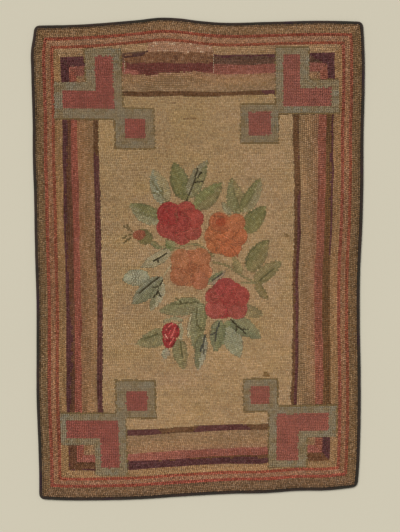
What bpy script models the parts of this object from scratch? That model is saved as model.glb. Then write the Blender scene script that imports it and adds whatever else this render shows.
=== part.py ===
"""A hooked rug lying flat, pile up: a burlap foundation full of wool loops, and a dark tape
folded round its edge.

Metres, +Z up. +Y points to the rug's top end, and the origin is under the middle of its box.
"""

import bmesh
import bpy
import numpy as np

MM = 0.001

# The four corners of the rug, in mm from the middle, where the straight sides would meet.
CORNERS_MM = {
    "top_left": (-352.9, 503.6),
    "bottom_left": (-342.4, -518.3),
    "bottom_right": (344.3, -492.4),
    "top_right": (356.6, 512.0),
}
CORNER_ROUNDING = 13 * MM

# How far each side swells past the straight line between its corners.
# Columns: mm along the side from its first corner, mm outwards.
LEFT_SWELL_MM = (
    (0, 0.0),
    (21, 2.4),
    (50, 7.4),
    (110, 7.6),
    (215, 5.9),
    (270, 6.4),
    (376, 4.4),
    (484, 3.8),
    (600, 1.6),
    (700, 2.5),
    (807, 3.4),
    (915, 0.5),
    (969, -0.4),
    (1022, 0.0),
)
BOTTOM_SWELL_MM = (
    (0, 0.0),
    (46, 4.1),
    (132, 7.6),
    (218, 8.4),
    (304, 6.0),
    (430, 4.4),
    (477, 5.6),
    (563, 3.2),
    (620, 4.5),
    (687, 0.0),
)
RIGHT_SWELL_MM = (
    (0, 0.0),
    (27, 2.3),
    (100, 4.8),
    (243, 4.3),
    (350, 1.2),
    (458, 0.4),
    (566, 4.0),
    (650, 5.0),
    (781, 4.3),
    (835, 5.2),
    (943, 4.0),
    (1004, 0.0),
)
TOP_SWELL_MM = (
    (0, 0.0),
    (50, 2.3),
    (93, 3.3),
    (200, 2.2),
    (309, 2.0),
    (352, 5.9),
    (395, 11.8),
    (438, 14.0),
    (481, 9.8),
    (540, 5.4),
    (610, 1.3),
    (709, 0.0),
)

# Heights above the floor.
PILE_TOP = 8.0 * MM
SHOULDER_MIDDLE = 7.4 * MM
SHOULDER_FOOT = 5.4 * MM
MARGIN_TOP = 3.0 * MM
MARGIN_UNDERSIDE = 1.2 * MM

# Distances in from the rug's outer edge.
MARGIN_EDGE = 2.1 * MM
PILE_EDGE = 7.3 * MM
SHOULDER_BEND = 8.2 * MM
SHOULDER_INNER = 10.5 * MM

# The binding tape: its thickness, how wide it lies on the rug, and the height of its fold.
TAPE = 0.9 * MM
LAP = 7.0 * MM
FOLD_HEIGHT = 4.2 * MM
FOLD_DEPTH = 1.6 * MM
FOLD_ROUND_IN = 0.45 * MM
FOLD_ROUND_UP = 0.65 * MM

# Soft unevenness of the pile, as the loops were pulled higher and lower by hand.
# Columns: mm of height, waves across the rug, waves along it, phase in radians.
PILE_WAVES = (
    (0.32, 2.0, 1.0, 0.4),
    (0.26, -1.0, 3.0, 2.1),
    (0.20, 4.0, 5.0, 0.9),
    (0.16, 6.0, -3.0, 3.3),
)
CALM_RIM = 0.06

# Points along a side: these distances from each corner, and an even share between them.
NEAR_CORNER = (0.0, 4.5 * MM, 9.0 * MM, 15.0 * MM)
CELLS_ACROSS = 19
CELLS_ALONG = 28
SIDE_POINTS = 240
BEND_POINTS = 25

COLOURS = {
    "rug": (0.27, 0.18, 0.095),
    "binding": (0.022, 0.017, 0.015),
}


def clear_scene():
    for obj in list(bpy.data.objects):
        bpy.data.objects.remove(obj, do_unlink=True)


def material(name, colour, roughness):
    made = bpy.data.materials.new(name)
    made.use_nodes = True
    shader = made.node_tree.nodes["Principled BSDF"]
    shader.inputs["Base Color"].default_value = (*colour, 1.0)
    shader.inputs["Roughness"].default_value = roughness
    shader.inputs["Metallic"].default_value = 0.0
    return made


def smooth_through(rows, along):
    """The swell at each distance: a curve through the rows whose slope at a row is the mean of
    the slopes on its two sides."""
    x, y = np.array(rows, float).T
    slope = np.gradient(y, x)
    i = np.clip(np.searchsorted(x, along) - 1, 0, len(x) - 2)
    width = x[i + 1] - x[i]
    t = (along - x[i]) / width
    rise = (3 * t**2 - 2 * t**3) * (y[i + 1] - y[i])
    lean = (t**3 - 2 * t**2 + t) * slope[i] + (t**3 - t**2) * slope[i + 1]
    return y[i] + rise + lean * width


def side_points(first, last, swell):
    """One side from corner to corner: the straight line, moved outwards by the swell."""
    a = np.array(CORNERS_MM[first])
    b = np.array(CORNERS_MM[last])
    length = np.linalg.norm(b - a)
    direction = (b - a) / length
    outward = np.array([direction[1], -direction[0]])
    along = np.linspace(0.0, length, SIDE_POINTS)
    out = smooth_through(swell, along * swell[-1][0] / length)
    return (a + np.outer(along, direction) + np.outer(out, outward)) * MM


def rounded(incoming, outgoing):
    """The bend from one side to the next: a parabola that leaves the sides a short way from
    the corner and pulls towards it."""
    corner = outgoing[0]
    back = np.linalg.norm(incoming - corner, axis=1)
    ahead = np.linalg.norm(outgoing - corner, axis=1)
    start = incoming[np.argmin(np.abs(back - CORNER_ROUNDING))]
    end = outgoing[np.argmin(np.abs(ahead - CORNER_ROUNDING))]
    t = np.linspace(0.0, 1.0, BEND_POINTS)[:, None]
    return (1 - t) ** 2 * start + 2 * t * (1 - t) * corner + t**2 * end


def edge_line():
    """The rug's outer edge as four dense lines, anticlockwise from the top left corner.
    Each runs from the middle of one corner's bend to the middle of the next."""
    order = ("top_left", "bottom_left", "bottom_right", "top_right")
    swells = (LEFT_SWELL_MM, BOTTOM_SWELL_MM, RIGHT_SWELL_MM, TOP_SWELL_MM)
    sides = [side_points(order[i], order[(i + 1) % 4], swells[i]) for i in range(4)]
    bends = [rounded(sides[i - 1], sides[i]) for i in range(4)]
    pieces = []
    for i in range(4):
        bend, after = bends[i], bends[(i + 1) % 4]
        middle = len(bend) // 2
        side = sides[i]
        from_start = np.linalg.norm(side - side[0], axis=1)
        from_end = np.linalg.norm(side - side[-1], axis=1)
        kept = side[np.minimum(from_start, from_end) > CORNER_ROUNDING * 1.1]
        pieces.append(np.concatenate([bend[middle:], kept, after[: middle + 1]]))
    return pieces


def stations():
    """Points round the outer edge with their inward directions, and how many lie on each
    side. They crowd at the corners and are evenly spaced between."""
    points, counts = [], []
    for piece, cells in zip(edge_line(), (CELLS_ALONG, CELLS_ACROSS) * 2):
        steps = np.linalg.norm(np.diff(piece, axis=0), axis=1)
        arc = np.concatenate([[0.0], np.cumsum(steps)])
        near = np.array(NEAR_CORNER)
        middle = np.linspace(near[-1], arc[-1] - near[-1], cells + 1)[1:-1]
        places = np.concatenate([near, middle, arc[-1] - near[:0:-1]])
        points.append(np.column_stack([np.interp(places, arc, piece[:, k]) for k in (0, 1)]))
        counts.append(len(places))
    line = np.concatenate(points)
    ahead = np.roll(line, -1, axis=0) - line
    behind = line - np.roll(line, 1, axis=0)
    ahead /= np.linalg.norm(ahead, axis=1)[:, None]
    behind /= np.linalg.norm(behind, axis=1)[:, None]
    tangent = ahead + behind
    tangent /= np.linalg.norm(tangent, axis=1)[:, None]
    inward = np.column_stack([-tangent[:, 1], tangent[:, 0]])
    middle = (line.max(axis=0) + line.min(axis=0)) / 2
    return line - middle, inward, counts


def ring(edge, inward, inset, height):
    """The points of the edge line moved in by inset, at one height."""
    flat = edge + inward * inset
    return np.column_stack([flat, np.full(len(flat), height)])


def carry(bm, edges, station, points):
    """Extrudes a loop of edges and puts its new points on a ring. Gives the new loop."""
    new = bmesh.ops.extrude_edge_only(bm, edges=edges)["geom"]
    for vert in [v for v in new if isinstance(v, bmesh.types.BMVert)]:
        vert.co = points[vert[station]]
    return [e for e in new if isinstance(e, bmesh.types.BMEdge)]


def add_object(name, bm, collection, roughness):
    mesh = bpy.data.meshes.new(name)
    bmesh.ops.recalc_face_normals(bm, faces=bm.faces)
    bm.to_mesh(mesh)
    bm.free()
    obj = bpy.data.objects.new(name, mesh)
    obj.data.materials.append(material(name, COLOURS[name], roughness))
    collection.objects.link(obj)
    mesh.shade_smooth()
    mesh.set_sharp_from_angle(angle=0.7)
    return obj


def pile_height(x, y, width, length):
    """The pile's top: its mean height and a few slow waves, which die out over the outer
    part of the rug's width and length that CALM_RIM gives."""
    u, v = x / width, y / length
    height = np.zeros_like(x)
    for rise, across, along, phase in PILE_WAVES:
        height += rise * MM * np.sin(2 * np.pi * (across * u + along * v) + phase)
    inside = np.minimum(0.5 - np.abs(u), 0.5 - np.abs(v)) / CALM_RIM
    return PILE_TOP + height * np.clip(inside, 0.0, 1.0)


def make_rug(edge, inward, counts, collection):
    """The top is a grid stretched over the outline, and its rim is carried down the pile's
    shoulder, out along the margin, round it and back to a flat underside."""
    rim = ring(edge, inward, SHOULDER_INNER, PILE_TOP)
    cells_along, cells_across = counts[0], counts[1]
    bm = bmesh.new()
    bmesh.ops.create_grid(bm, x_segments=cells_across, y_segments=cells_along, size=0.5)
    station = bm.verts.layers.int.new("station")

    first = np.cumsum([0] + counts[:3])
    left = rim[first[0] : first[1] + 1][::-1, :2]
    bottom = rim[first[1] : first[2] + 1, :2]
    right = rim[first[2] : first[3] + 1, :2]
    top = np.concatenate([rim[first[3] :, :2], rim[:1, :2]])[::-1]

    column = np.array([round((v.co.x + 0.5) * cells_across) for v in bm.verts])
    row = np.array([round((v.co.y + 0.5) * cells_along) for v in bm.verts])
    u = column / cells_across
    v = row / cells_along
    across = (1 - v)[:, None] * bottom[column] + v[:, None] * top[column]
    along = (1 - u)[:, None] * left[row] + u[:, None] * right[row]
    low = (1 - u)[:, None] * bottom[0] + u[:, None] * bottom[-1]
    high = (1 - u)[:, None] * top[0] + u[:, None] * top[-1]
    flat = across + along - ((1 - v)[:, None] * low + v[:, None] * high)
    width, length = np.ptp(edge, axis=0)
    height = pile_height(flat[:, 0], flat[:, 1], width, length)
    for vert, point, z in zip(bm.verts, flat, height):
        vert.co = (point[0], point[1], z)

    total = len(rim)
    for vert, i, j in zip(bm.verts, column, row):
        if i == 0:
            vert[station] = (cells_along - j) % total
        elif j == 0:
            vert[station] = first[1] + i
        elif i == cells_across:
            vert[station] = first[2] + j
        elif j == cells_along:
            vert[station] = first[3] + cells_across - i

    shoulder = ((SHOULDER_BEND, SHOULDER_MIDDLE), (PILE_EDGE, SHOULDER_FOOT))
    margin = (
        (PILE_EDGE, MARGIN_TOP),
        (MARGIN_EDGE, MARGIN_TOP),
        (MARGIN_EDGE, MARGIN_UNDERSIDE),
        (PILE_EDGE, MARGIN_UNDERSIDE),
        (PILE_EDGE, 0.0),
    )
    loop = [e for e in bm.edges if e.is_boundary]
    for inset, z in shoulder + margin:
        loop = carry(bm, loop, station, ring(edge, inward, inset, z))
    bmesh.ops.holes_fill(bm, edges=loop, sides=0)
    return add_object("rug", bm, collection, 0.95)


def make_binding(edge, inward, collection):
    """A tape of even thickness, doubled round the edge: up the outside of its fold and over
    the rug, then back inside the fold and under it."""
    middle = FOLD_HEIGHT / 2
    section = (
        (LAP, 0.0),
        (FOLD_DEPTH, 0.0),
        (FOLD_ROUND_IN, FOLD_ROUND_UP),
        (0.0, middle),
        (FOLD_ROUND_IN, FOLD_HEIGHT - FOLD_ROUND_UP),
        (FOLD_DEPTH, FOLD_HEIGHT),
        (LAP, FOLD_HEIGHT),
        (LAP, FOLD_HEIGHT - TAPE),
        (2 * TAPE, FOLD_HEIGHT - TAPE),
        (TAPE, middle),
        (2 * TAPE, TAPE),
        (LAP, TAPE),
    )
    bm = bmesh.new()
    made = bmesh.ops.create_circle(bm, segments=len(edge), radius=0.4)
    station = bm.verts.layers.int.new("station")
    start = ring(edge, inward, *section[0])
    bm.verts.ensure_lookup_table()
    for i in range(len(edge)):
        bm.verts[i][station] = i
        bm.verts[i].co = start[i]
    loop = list(bm.edges)
    for inset, z in section[1:] + section[:1]:
        loop = carry(bm, loop, station, ring(edge, inward, inset, z))
    bmesh.ops.remove_doubles(bm, verts=bm.verts, dist=0.001 * MM)
    return add_object("binding", bm, collection, 0.85)


def main():
    clear_scene()
    collection = bpy.data.collections.new("hooked_rug")
    bpy.context.scene.collection.children.link(collection)
    edge, inward, counts = stations()
    make_rug(edge, inward, counts, collection)
    make_binding(edge, inward, collection)


main()
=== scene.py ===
"""The hooked rug dressed: the burlap, every loop of its wool pile, the bound edge and the mend.

The plan is worked out in millimetres, +X to the right and +Y to the top end, from the middle
of the rug's outline. Meshes are in metres.
"""

import bpy
import numpy as np
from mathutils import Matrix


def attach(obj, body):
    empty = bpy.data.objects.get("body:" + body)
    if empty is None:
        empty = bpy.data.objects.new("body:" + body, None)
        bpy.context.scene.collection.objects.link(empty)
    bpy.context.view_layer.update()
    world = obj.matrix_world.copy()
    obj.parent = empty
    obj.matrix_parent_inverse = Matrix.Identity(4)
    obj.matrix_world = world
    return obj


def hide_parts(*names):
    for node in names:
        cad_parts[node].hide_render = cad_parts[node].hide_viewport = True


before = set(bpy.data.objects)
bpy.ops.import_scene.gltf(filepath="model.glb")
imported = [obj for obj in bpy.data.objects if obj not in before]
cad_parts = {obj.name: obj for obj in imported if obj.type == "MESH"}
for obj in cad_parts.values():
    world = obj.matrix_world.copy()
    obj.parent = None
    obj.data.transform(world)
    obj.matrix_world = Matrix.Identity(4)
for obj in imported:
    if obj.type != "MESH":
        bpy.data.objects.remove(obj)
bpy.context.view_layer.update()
MM = 0.001

# The outline, as the solids have it.
CORNERS = {
    "top_left": (-352.9, 503.6),
    "bottom_left": (-342.4, -518.3),
    "bottom_right": (344.3, -492.4),
    "top_right": (356.6, 512.0),
}
CORNER_ORDER = ("top_left", "bottom_left", "bottom_right", "top_right")
CORNER_ROUNDING = 13.0

# How far each side swells past the straight line between its corners.
# Columns: mm along the side from its first corner, mm outwards.
LEFT_SWELL = (
    (0, 0.0), (21, 2.4), (50, 7.4), (110, 7.6), (215, 5.9), (270, 6.4), (376, 4.4), (484, 3.8),
    (600, 1.6), (700, 2.5), (807, 3.4), (915, 0.5), (969, -0.4), (1022, 0.0),
)
BOTTOM_SWELL = (
    (0, 0.0), (46, 4.1), (132, 7.6), (218, 8.4), (304, 6.0), (430, 4.4), (477, 5.6), (563, 3.2),
    (620, 4.5), (687, 0.0),
)
RIGHT_SWELL = (
    (0, 0.0), (27, 2.3), (100, 4.8), (243, 4.3), (350, 1.2), (458, 0.4), (566, 4.0), (650, 5.0),
    (781, 4.3), (835, 5.2), (943, 4.0), (1004, 0.0),
)
TOP_SWELL = (
    (0, 0.0), (50, 2.3), (93, 3.3), (200, 2.2), (309, 2.0), (352, 5.9), (395, 11.8), (438, 14.0),
    (481, 9.8), (540, 5.4), (610, 1.3), (709, 0.0),
)
SWELLS = (LEFT_SWELL, BOTTOM_SWELL, RIGHT_SWELL, TOP_SWELL)

# Heights above the floor. Packed loops hide the burlap, so between them shows a mat of wool.
PILE_TOP = 8.0
MAT_DEPTH = 3.1
MAT_RIM = 2.6
LOOP_ROOT = 2.2
BURLAP_MARGIN = 1.2
# How far the loops stand below the pile's top, by mm in from the edge, and where the mat rises.
PILE_START = 7.4
SHOULDER = ((PILE_START, 9.5, 13.5), (-1.5, -0.7, 0.0))
MAT_RISE = (6.4, 10.0)
MARGIN_RISE = (6.9, 9.0)

# The pile's unevenness, as the solids have it: mm of height, waves across, waves along, phase.
PILE_WAVES = (
    (0.32, 2.0, 1.0, 0.4),
    (0.26, -1.0, 3.0, 2.1),
    (0.20, 4.0, 5.0, 0.9),
    (0.16, 6.0, -3.0, 3.3),
)
CALM_RIM = 0.06

# The hooking: how far apart rows lie, and loops in a row.
ROW = 3.5
LOOP = 4.0
# The bow of the field's rows: mm of height, and mm along for each radian of the wave.
LONG_BOW = (1.6, 61)
SHORT_BOW = (0.9, 27)
BOW_SHIFT = 160
# A loop: half its length and width at the root, their shares at the top, and how much lower its
# ends are there. Then how much one loop differs from the next, as spreads.
LOOP_LENGTH = 2.55
LOOP_WIDTH = 2.15
TOP_LENGTH = 0.72
TOP_WIDTH = 0.68
TOP_DROP = 0.9
TWIST_SPREAD = 0.3
LENGTH_SPREAD = 0.09
WIDTH_SPREAD = 0.07
SWAY_SPREAD = 0.3
HEIGHT_SPREAD = 0.28
# Loops near the edge lean out over it, most where the pile starts and not at all from here in.
EDGE_LEAN = 0.9
LEAN_END = 13.0
EDGE_ROOTS = 11.0
# As shares of ROW: loops closer than this are thinned out, and up to this they push apart.
TOO_CLOSE = 0.56
TOUCHING = 0.95
PUSH_ROUNDS = 6
PUSH = 0.3
LONGEST_PUSH = 0.5

# The pile's wool is dyed lighter than it looks, because loops shade each other. A loop's sides
# and the mat under it get painted shade: their colour is darker than its top's.
PILE_LIFT = 1.35
SIDE_PAINTED_SHADE = 0.82
MAT_PAINTED_SHADE = 0.55
SHADE_SPREAD = 0.025
WARMTH_SPREAD = 0.022
DARKEST_WOOL = 12
# Display steps by which rows and strips of wool differ. A strip lasts this many loops.
ROW_TONE = 0.4
STRIP_TONE = 1.0
STRIP_LOOPS = 13
TONE_LIMIT = 2.2

# Where each stripe ends, in mm in from the rug's edge.
# Columns: stripe, left side, bottom, right side, top.
STRIPES = (
    ("outer", 24.8, 28.6, 25.4, 27.2),
    ("red_outer", 32.2, 34.7, 32.3, 34.0),
    ("tan", 42.2, 44.4, 42.2, 45.6),
    ("red_inner", 49.2, 49.4, 49.2, 51.6),
    ("ochre", 64.6, 65.3, 65.3, 69.6),
    ("dark", 83.1, 82.9, 81.4, 90.7),
    ("rose", 97.6, 99.1, 98.0, 111.6),
    ("fade", 131.4, 137.9, 132.5, 147.5),
    ("thin", 143.5, 149.9, 145.4, 157.5),
)
OCHRE, DARK, FADE, THIN = 4, 5, 7, 8
FIELD = len(STRIPES)

# How far the end of each stripe wanders from true, as a hand hooks it.
WANDER = (0.0, 0.35, 0.35, 0.35, 0.35, 0.9, 1.1, 1.1, 0.7, 0.7)

# How far the thin line strays inwards from following the edge: mm along the side, mm inwards.
DRIFT = (
    ((0, 0.0), (1022, 0.0)),
    ((0, 0.0), (687, 0.0)),
    ((0, 5.4), (189, 5.4), (329, 0.0), (523, 0.0), (792, 7.5), (1004, 7.5)),
    ((0, 0.0), (266, 0.0), (352, 5.9), (427, 13.1), (470, 10.0), (513, 4.5), (709, 0.0)),
)

# The wool of each stripe, as display colours from 0 to 255.
# Columns: left side, bottom, right side, top.
STRIPE_WOOL = (
    ((113, 88, 60), (114, 87, 62), (111, 85, 57), (126, 97, 68)),
    ((128, 70, 52), (133, 68, 52), (124, 70, 50), (124, 65, 47)),
    ((134, 96, 68), (139, 100, 74), (132, 96, 68), (139, 103, 76)),
    ((126, 71, 51), (134, 71, 52), (126, 71, 53), (126, 70, 50)),
    ((132, 101, 67), (141, 109, 75), (134, 102, 69), (147, 117, 84)),
    ((94, 61, 42), (99, 66, 43), (100, 70, 42), (93, 66, 51)),
    ((132, 76, 60), (136, 83, 68), (128, 78, 60), (126, 78, 64)),
    ((133, 100, 69), (142, 111, 79), (137, 106, 75), (140, 109, 77)),
    ((97, 68, 44), (97, 68, 44), (97, 68, 44), (97, 68, 44)),
)
FADE_OUTER = ((130, 95, 66), (137, 104, 76), (135, 99, 71), (133, 99, 73))
FADE_INNER = ((138, 107, 74), (143, 114, 83), (140, 112, 79), (143, 116, 85))
PURPLE = (83, 49, 47)
THIN_PURPLE = (88, 53, 48)
# The fade passes from its outer wool to its own by this share of its width, then to the inner.
FADE_TURN = 0.35
STREAK = 0.045
# The rows next to the binding get painted shade, darker by these shares, left, bottom, right
# and top, up to this share of the outer stripe.
EDGE_PAINTED_SHADE = (0.52, 0.85, 0.85, 0.58)
EDGE_SHADE_REACH = 0.18

# The outer share of the dark stripe that is purple: mm along the side, share.
DARK_PURPLE = (
    (
        (0, 1.0), (170, 1.0), (204, 0.56), (411, 0.36), (527, 0.23), (592, 0.41), (678, 0.73),
        (807, 0.5), (880, 0.15), (1022, 0.1),
    ),
    ((0, 0.1), (150, 0.1), (185, 1.0), (300, 0.9), (500, 0.62), (540, 0.0), (687, 0.0)),
    (
        (0, 1.0), (112, 1.0), (150, 0.0), (470, 0.0), (545, 0.32), (800, 0.32), (860, 1.0),
        (1004, 1.0),
    ),
    ((0, 1.0), (85, 1.0), (110, 0.3), (310, 0.22), (330, 0.0), (520, 0.0), (600, 1.0), (709, 1.0)),
)
# The same for the thin line.
THIN_LINE_PURPLE = (
    ((0, 0.0), (272, 0.0), (288, 1.0), (1022, 1.0)),
    ((0, 1.0), (260, 1.0), (272, 0.0), (338, 0.0), (350, 1.0), (452, 1.0), (464, 0.0)),
    ((0, 0.5), (620, 0.5), (645, 0.0), (1004, 0.0)),
    ((0, 1.0), (214, 1.0), (222, 0.0), (709, 0.0)),
)

FIELD_WOOL = (155, 128, 93)
FIELD_OLIVE = (147, 122, 86)
FIELD_WARM = (155, 126, 89)
# Patches of tone on the field: share, width, height, place in the net of chance values.
FIELD_PATCHES = ((0.012, 70, 60, 1.0), (0.02, 22, 11, 2.0))
BLUE_PATCHES = (0.018, 40, 30, 4.0)

# Corner keys. Each has an L whose two arms stop short of the red line, and a small square at
# its elbow. u runs outwards across the rug from the elbow and v outwards along it. Upright
# edges lean by so much across for each mm along, and level ones by so much along for each mm
# across, as the hooker drew them.
# Columns: elbow, outward signs, the two leans, widths of the upright and the level arm, their
# ends, heart of the upright arm (u from, to, v end), of the level arm (v from, to, u end), the
# square (u from, to, v from, to) and its heart.
KEYS = (
    (
        (-159.5, 299.0),
        (-1, 1),
        (-0.035, -0.010),
        (80.5, 81.8),
        (155.0, 152.3),
        (19.8, 59.0, 138.3),
        (24.3, 63.5, 130.0),
        (-66.8, 20.5, -61.5, 26.5),
        (-45.9, -1.3, -38.8, 3.0),
    ),
    (
        (167.3, 311.3),
        (1, 1),
        (-0.004, 0.005),
        (74.0, 75.4),
        (146.0, 138.3),
        (16.6, 53.6, 130.5),
        (17.4, 57.6, 120.5),
        (-75.5, 7.8, -63.5, 23.2),
        (-57.6, -8.4, -44.0, 5.6),
    ),
    (
        (-154.6, -330.6),
        (-1, -1),
        (-0.036, 0.0),
        (70.8, 71.3),
        (136.5, 142.5),
        (16.4, 56.2, 120.6),
        (17.0, 56.4, 128.7),
        (-66.3, 22.4, -68.7, 14.0),
        (-47.8, -0.8, -45.2, -4.8),
    ),
    (
        (152.4, -315.8),
        (1, -1),
        (0.006, 0.016),
        (84.8, 70.2),
        (134.5, 148.2),
        (18.2, 64.2, 119.6),
        (19.0, 56.2, 130.1),
        (-55.0, 20.6, -59.3, 13.8),
        (-39.4, 2.6, -41.8, -3.2),
    ),
)
KEY_LINE = 2.6
KEY_STRAY = 0.25
KEY_ROWS = (-20.5, 46)
KEY_LOOPS = (-19.0, 40)
KEY_GREEN = (127, 111, 85)
KEY_GREY = (122, 112, 92)
KEY_KHAKI = (118, 99, 70)
KEY_OLIVE = (109, 88, 56)
KEY_ROSE = ((130, 74, 62), (129, 78, 65), (130, 74, 62), (132, 78, 64))

# Leaves, in the order they are hooked over each other.
# Columns: base, tip, half width, bend, wool left of the midrib, wool right of it.
LEAVES = (
    ((-23, 127), (-51, 208), 21, 2, (109, 103, 65), (112, 107, 70)),
    ((-71, 119), (-97, 192), 21, -2, (130, 125, 100), (143, 128, 94)),
    ((-17, 134), (20, 212), 17, 2, (127, 118, 91), (119, 111, 76)),
    ((-6, 110), (51, 163), 20, -2, (118, 115, 73), (118, 107, 72)),
    ((-79, 84), (-147, 118), 20, 3, (131, 124, 93), (116, 110, 72)),
    ((72, 97), (52, 123), 8, 0, (133, 125, 95), (123, 113, 83)),
    ((87, 97), (73, 173), 19, 0, (120, 113, 77), (127, 112, 76)),
    ((94, 101), (136, 174), 17, -3, (114, 107, 69), (136, 124, 91)),
    ((103, 58), (146, 113), 20, 2, (110, 104, 66), (118, 110, 70)),
    ((94, -34), (76, 4), 9, 0, (126, 112, 75), (137, 121, 82)),
    ((110, -26), (152, 42), 20, 2, (113, 105, 68), (124, 110, 73)),
    ((123, -52), (181, -5), 16, 2, (129, 114, 77), (122, 110, 74)),
    ((125, -54), (151, -88), 9, 0, (119, 103, 67), (120, 105, 70)),
    ((98, -103), (142, -121), 12, -3, (121, 106, 74), (133, 117, 81)),
    ((-80, 22), (-106, 42), 7, 0, (106, 104, 71), (118, 110, 75)),
    ((-53, 19), (-68, 41), 11, 0, (104, 106, 67), (127, 121, 82)),
    ((-60, 17), (-122, -17), 14, 2, (143, 132, 102), (149, 136, 105)),
    ((-75, -41), (-141, -98), 18, -2, (116, 112, 84), (123, 118, 94)),
    ((-75, -50), (-103, -113), 12, 2, (153, 143, 114), (119, 113, 84)),
    ((-6, -108), (-20, -170), 10, 2, (137, 134, 99), (150, 138, 107)),
    ((5, -93), (-82, -113), 18, 2, (126, 116, 83), (124, 117, 82)),
    ((7, -95), (-9, -192), 17, 2, (119, 113, 77), (124, 118, 86)),
    ((-62, -158), (-131, -184), 19, 2, (125, 114, 80), (127, 117, 81)),
    ((-41, -172), (-29, -239), 16, -2, (126, 112, 77), (121, 112, 78)),
    ((-66, -192), (-73, -218), 8, 0, (142, 128, 104), (138, 133, 109)),
    ((12, -162), (0, -241), 13, 0, (140, 133, 109), (111, 106, 76)),
    ((67, -134), (50, -185), 12, 0, (120, 120, 82), (129, 123, 86)),
    ((64, -147), (91, -213), 20, 0, (134, 129, 102), (135, 130, 102)),
    ((47, -132), (38, -200), 17, 0, (111, 109, 76), (116, 112, 82)),
    ((72, -131), (136, -171), 18, 2, (125, 118, 86), (112, 110, 81)),
    ((22, -54), (59, -26), 9, 0, (115, 113, 79), (140, 121, 98)),
)

# Veins, stems and sepals: wool, width, then the points each runs through.
DARK_VEIN, OLIVE_VEIN, PALE_VEIN = (60, 52, 33), (92, 86, 54), (110, 104, 70)
BLUE_VEIN = (68, 66, 57)
STEM, PALE_STEM, SEPAL = (121, 110, 74), (146, 132, 98), (98, 83, 50)
LINES = (
    (DARK_VEIN, 2.8, ((-24, 126), (-12, 153), (-4, 179), (0, 196))),
    (DARK_VEIN, 2.6, ((-2, 174), (9, 188))),
    (DARK_VEIN, 2.6, ((-7, 165), (13, 168))),
    (PALE_VEIN, 2.2, ((-68, 123), (-82, 145), (-99, 168))),
    (PALE_VEIN, 2.0, ((-75, 134), (-77, 153))),
    (PALE_VEIN, 2.0, ((-81, 138), (-100, 144))),
    (PALE_VEIN, 2.8, ((-90, 88), (-112, 94), (-137, 103))),
    (PALE_VEIN, 2.4, ((88, 108), (78, 150))),
    (PALE_VEIN, 2.4, ((104, 112), (128, 152))),
    (DARK_VEIN, 3.0, ((-66, 13), (-84, 2), (-96, -4))),
    (DARK_VEIN, 2.4, ((-84, 2), (-86, -8))),
    (DARK_VEIN, 3.0, ((-82, -39), (-104, -56), (-126, -74))),
    (DARK_VEIN, 2.8, ((-74, -45), (-84, -60), (-88, -74), (-95, -83))),
    (DARK_VEIN, 2.4, ((-84, -60), (-96, -61))),
    (DARK_VEIN, 2.4, ((-86, -68), (-79, -83))),
    (OLIVE_VEIN, 2.6, ((2, -93), (-34, -96), (-56, -99))),
    (OLIVE_VEIN, 2.4, ((-34, -95), (-49, -83))),
    (OLIVE_VEIN, 2.6, ((-2, -107), (-2, -143), (9, -153))),
    (OLIVE_VEIN, 2.6, ((-86, -163), (-116, -171))),
    (OLIVE_VEIN, 2.6, ((-38, -177), (-36, -195), (-32, -214))),
    (BLUE_VEIN, 3.2, ((17, -164), (11, -182), (6, -200))),
    (BLUE_VEIN, 2.2, ((11, -182), (14, -206))),
    (BLUE_VEIN, 3.0, ((47, -136), (41, -154), (38, -178))),
    (BLUE_VEIN, 2.6, ((37, -160), (26, -164))),
    (DARK_VEIN, 3.0, ((70, -129), (84, -143), (104, -161))),
    (DARK_VEIN, 2.4, ((84, -143), (82, -156))),
    (DARK_VEIN, 2.4, ((97, -151), (110, -153))),
    (OLIVE_VEIN, 2.8, ((162, -23), (133, -46))),
    (BLUE_VEIN, 2.4, ((30, -47), (54, -31))),
    (STEM, 4.6, ((-47, 22), (-22, 32), (5, 30), (33, 6))),
    (STEM, 4.6, ((33, -6), (62, -14), (95, -36), (125, -52))),
    (STEM, 4.0, ((93, -52), (125, -52))),
    (PALE_STEM, 3.6, ((-57, -13), (-74, -37))),
    (STEM, 4.4, ((-111, 41), (-92, 32), (-70, 24))),
    (SEPAL, 2.2, ((-141, 58), (-147, 67), (-153, 76))),
    (SEPAL, 2.2, ((-148, 61), (-155, 67), (-161, 72))),
    (SEPAL, 2.2, ((-143, 53), (-153, 49), (-162, 44))),
    (SEPAL, 2.2, ((-144, 47), (-151, 41), (-158, 35))),
    ((137, 129, 97), 7.0, ((-72, -134), (-52, -128), (-33, -132))),
    ((143, 134, 103), 7.0, ((-38, -140), (-33, -156), (-38, -174))),
)

# A leaf's half width goes with t^LEAF_BASE (1 - t)^LEAF_TIP, t from its base to its tip.
LEAF_BASE = 0.55
LEAF_TIP = 0.8
# The rim of a dark leaf is darker than its inside, beyond this share of its half width.
LEAF_RIM = 0.74
RIM_SHADE = -0.12
INSIDE_SHADE = 0.03

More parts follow.
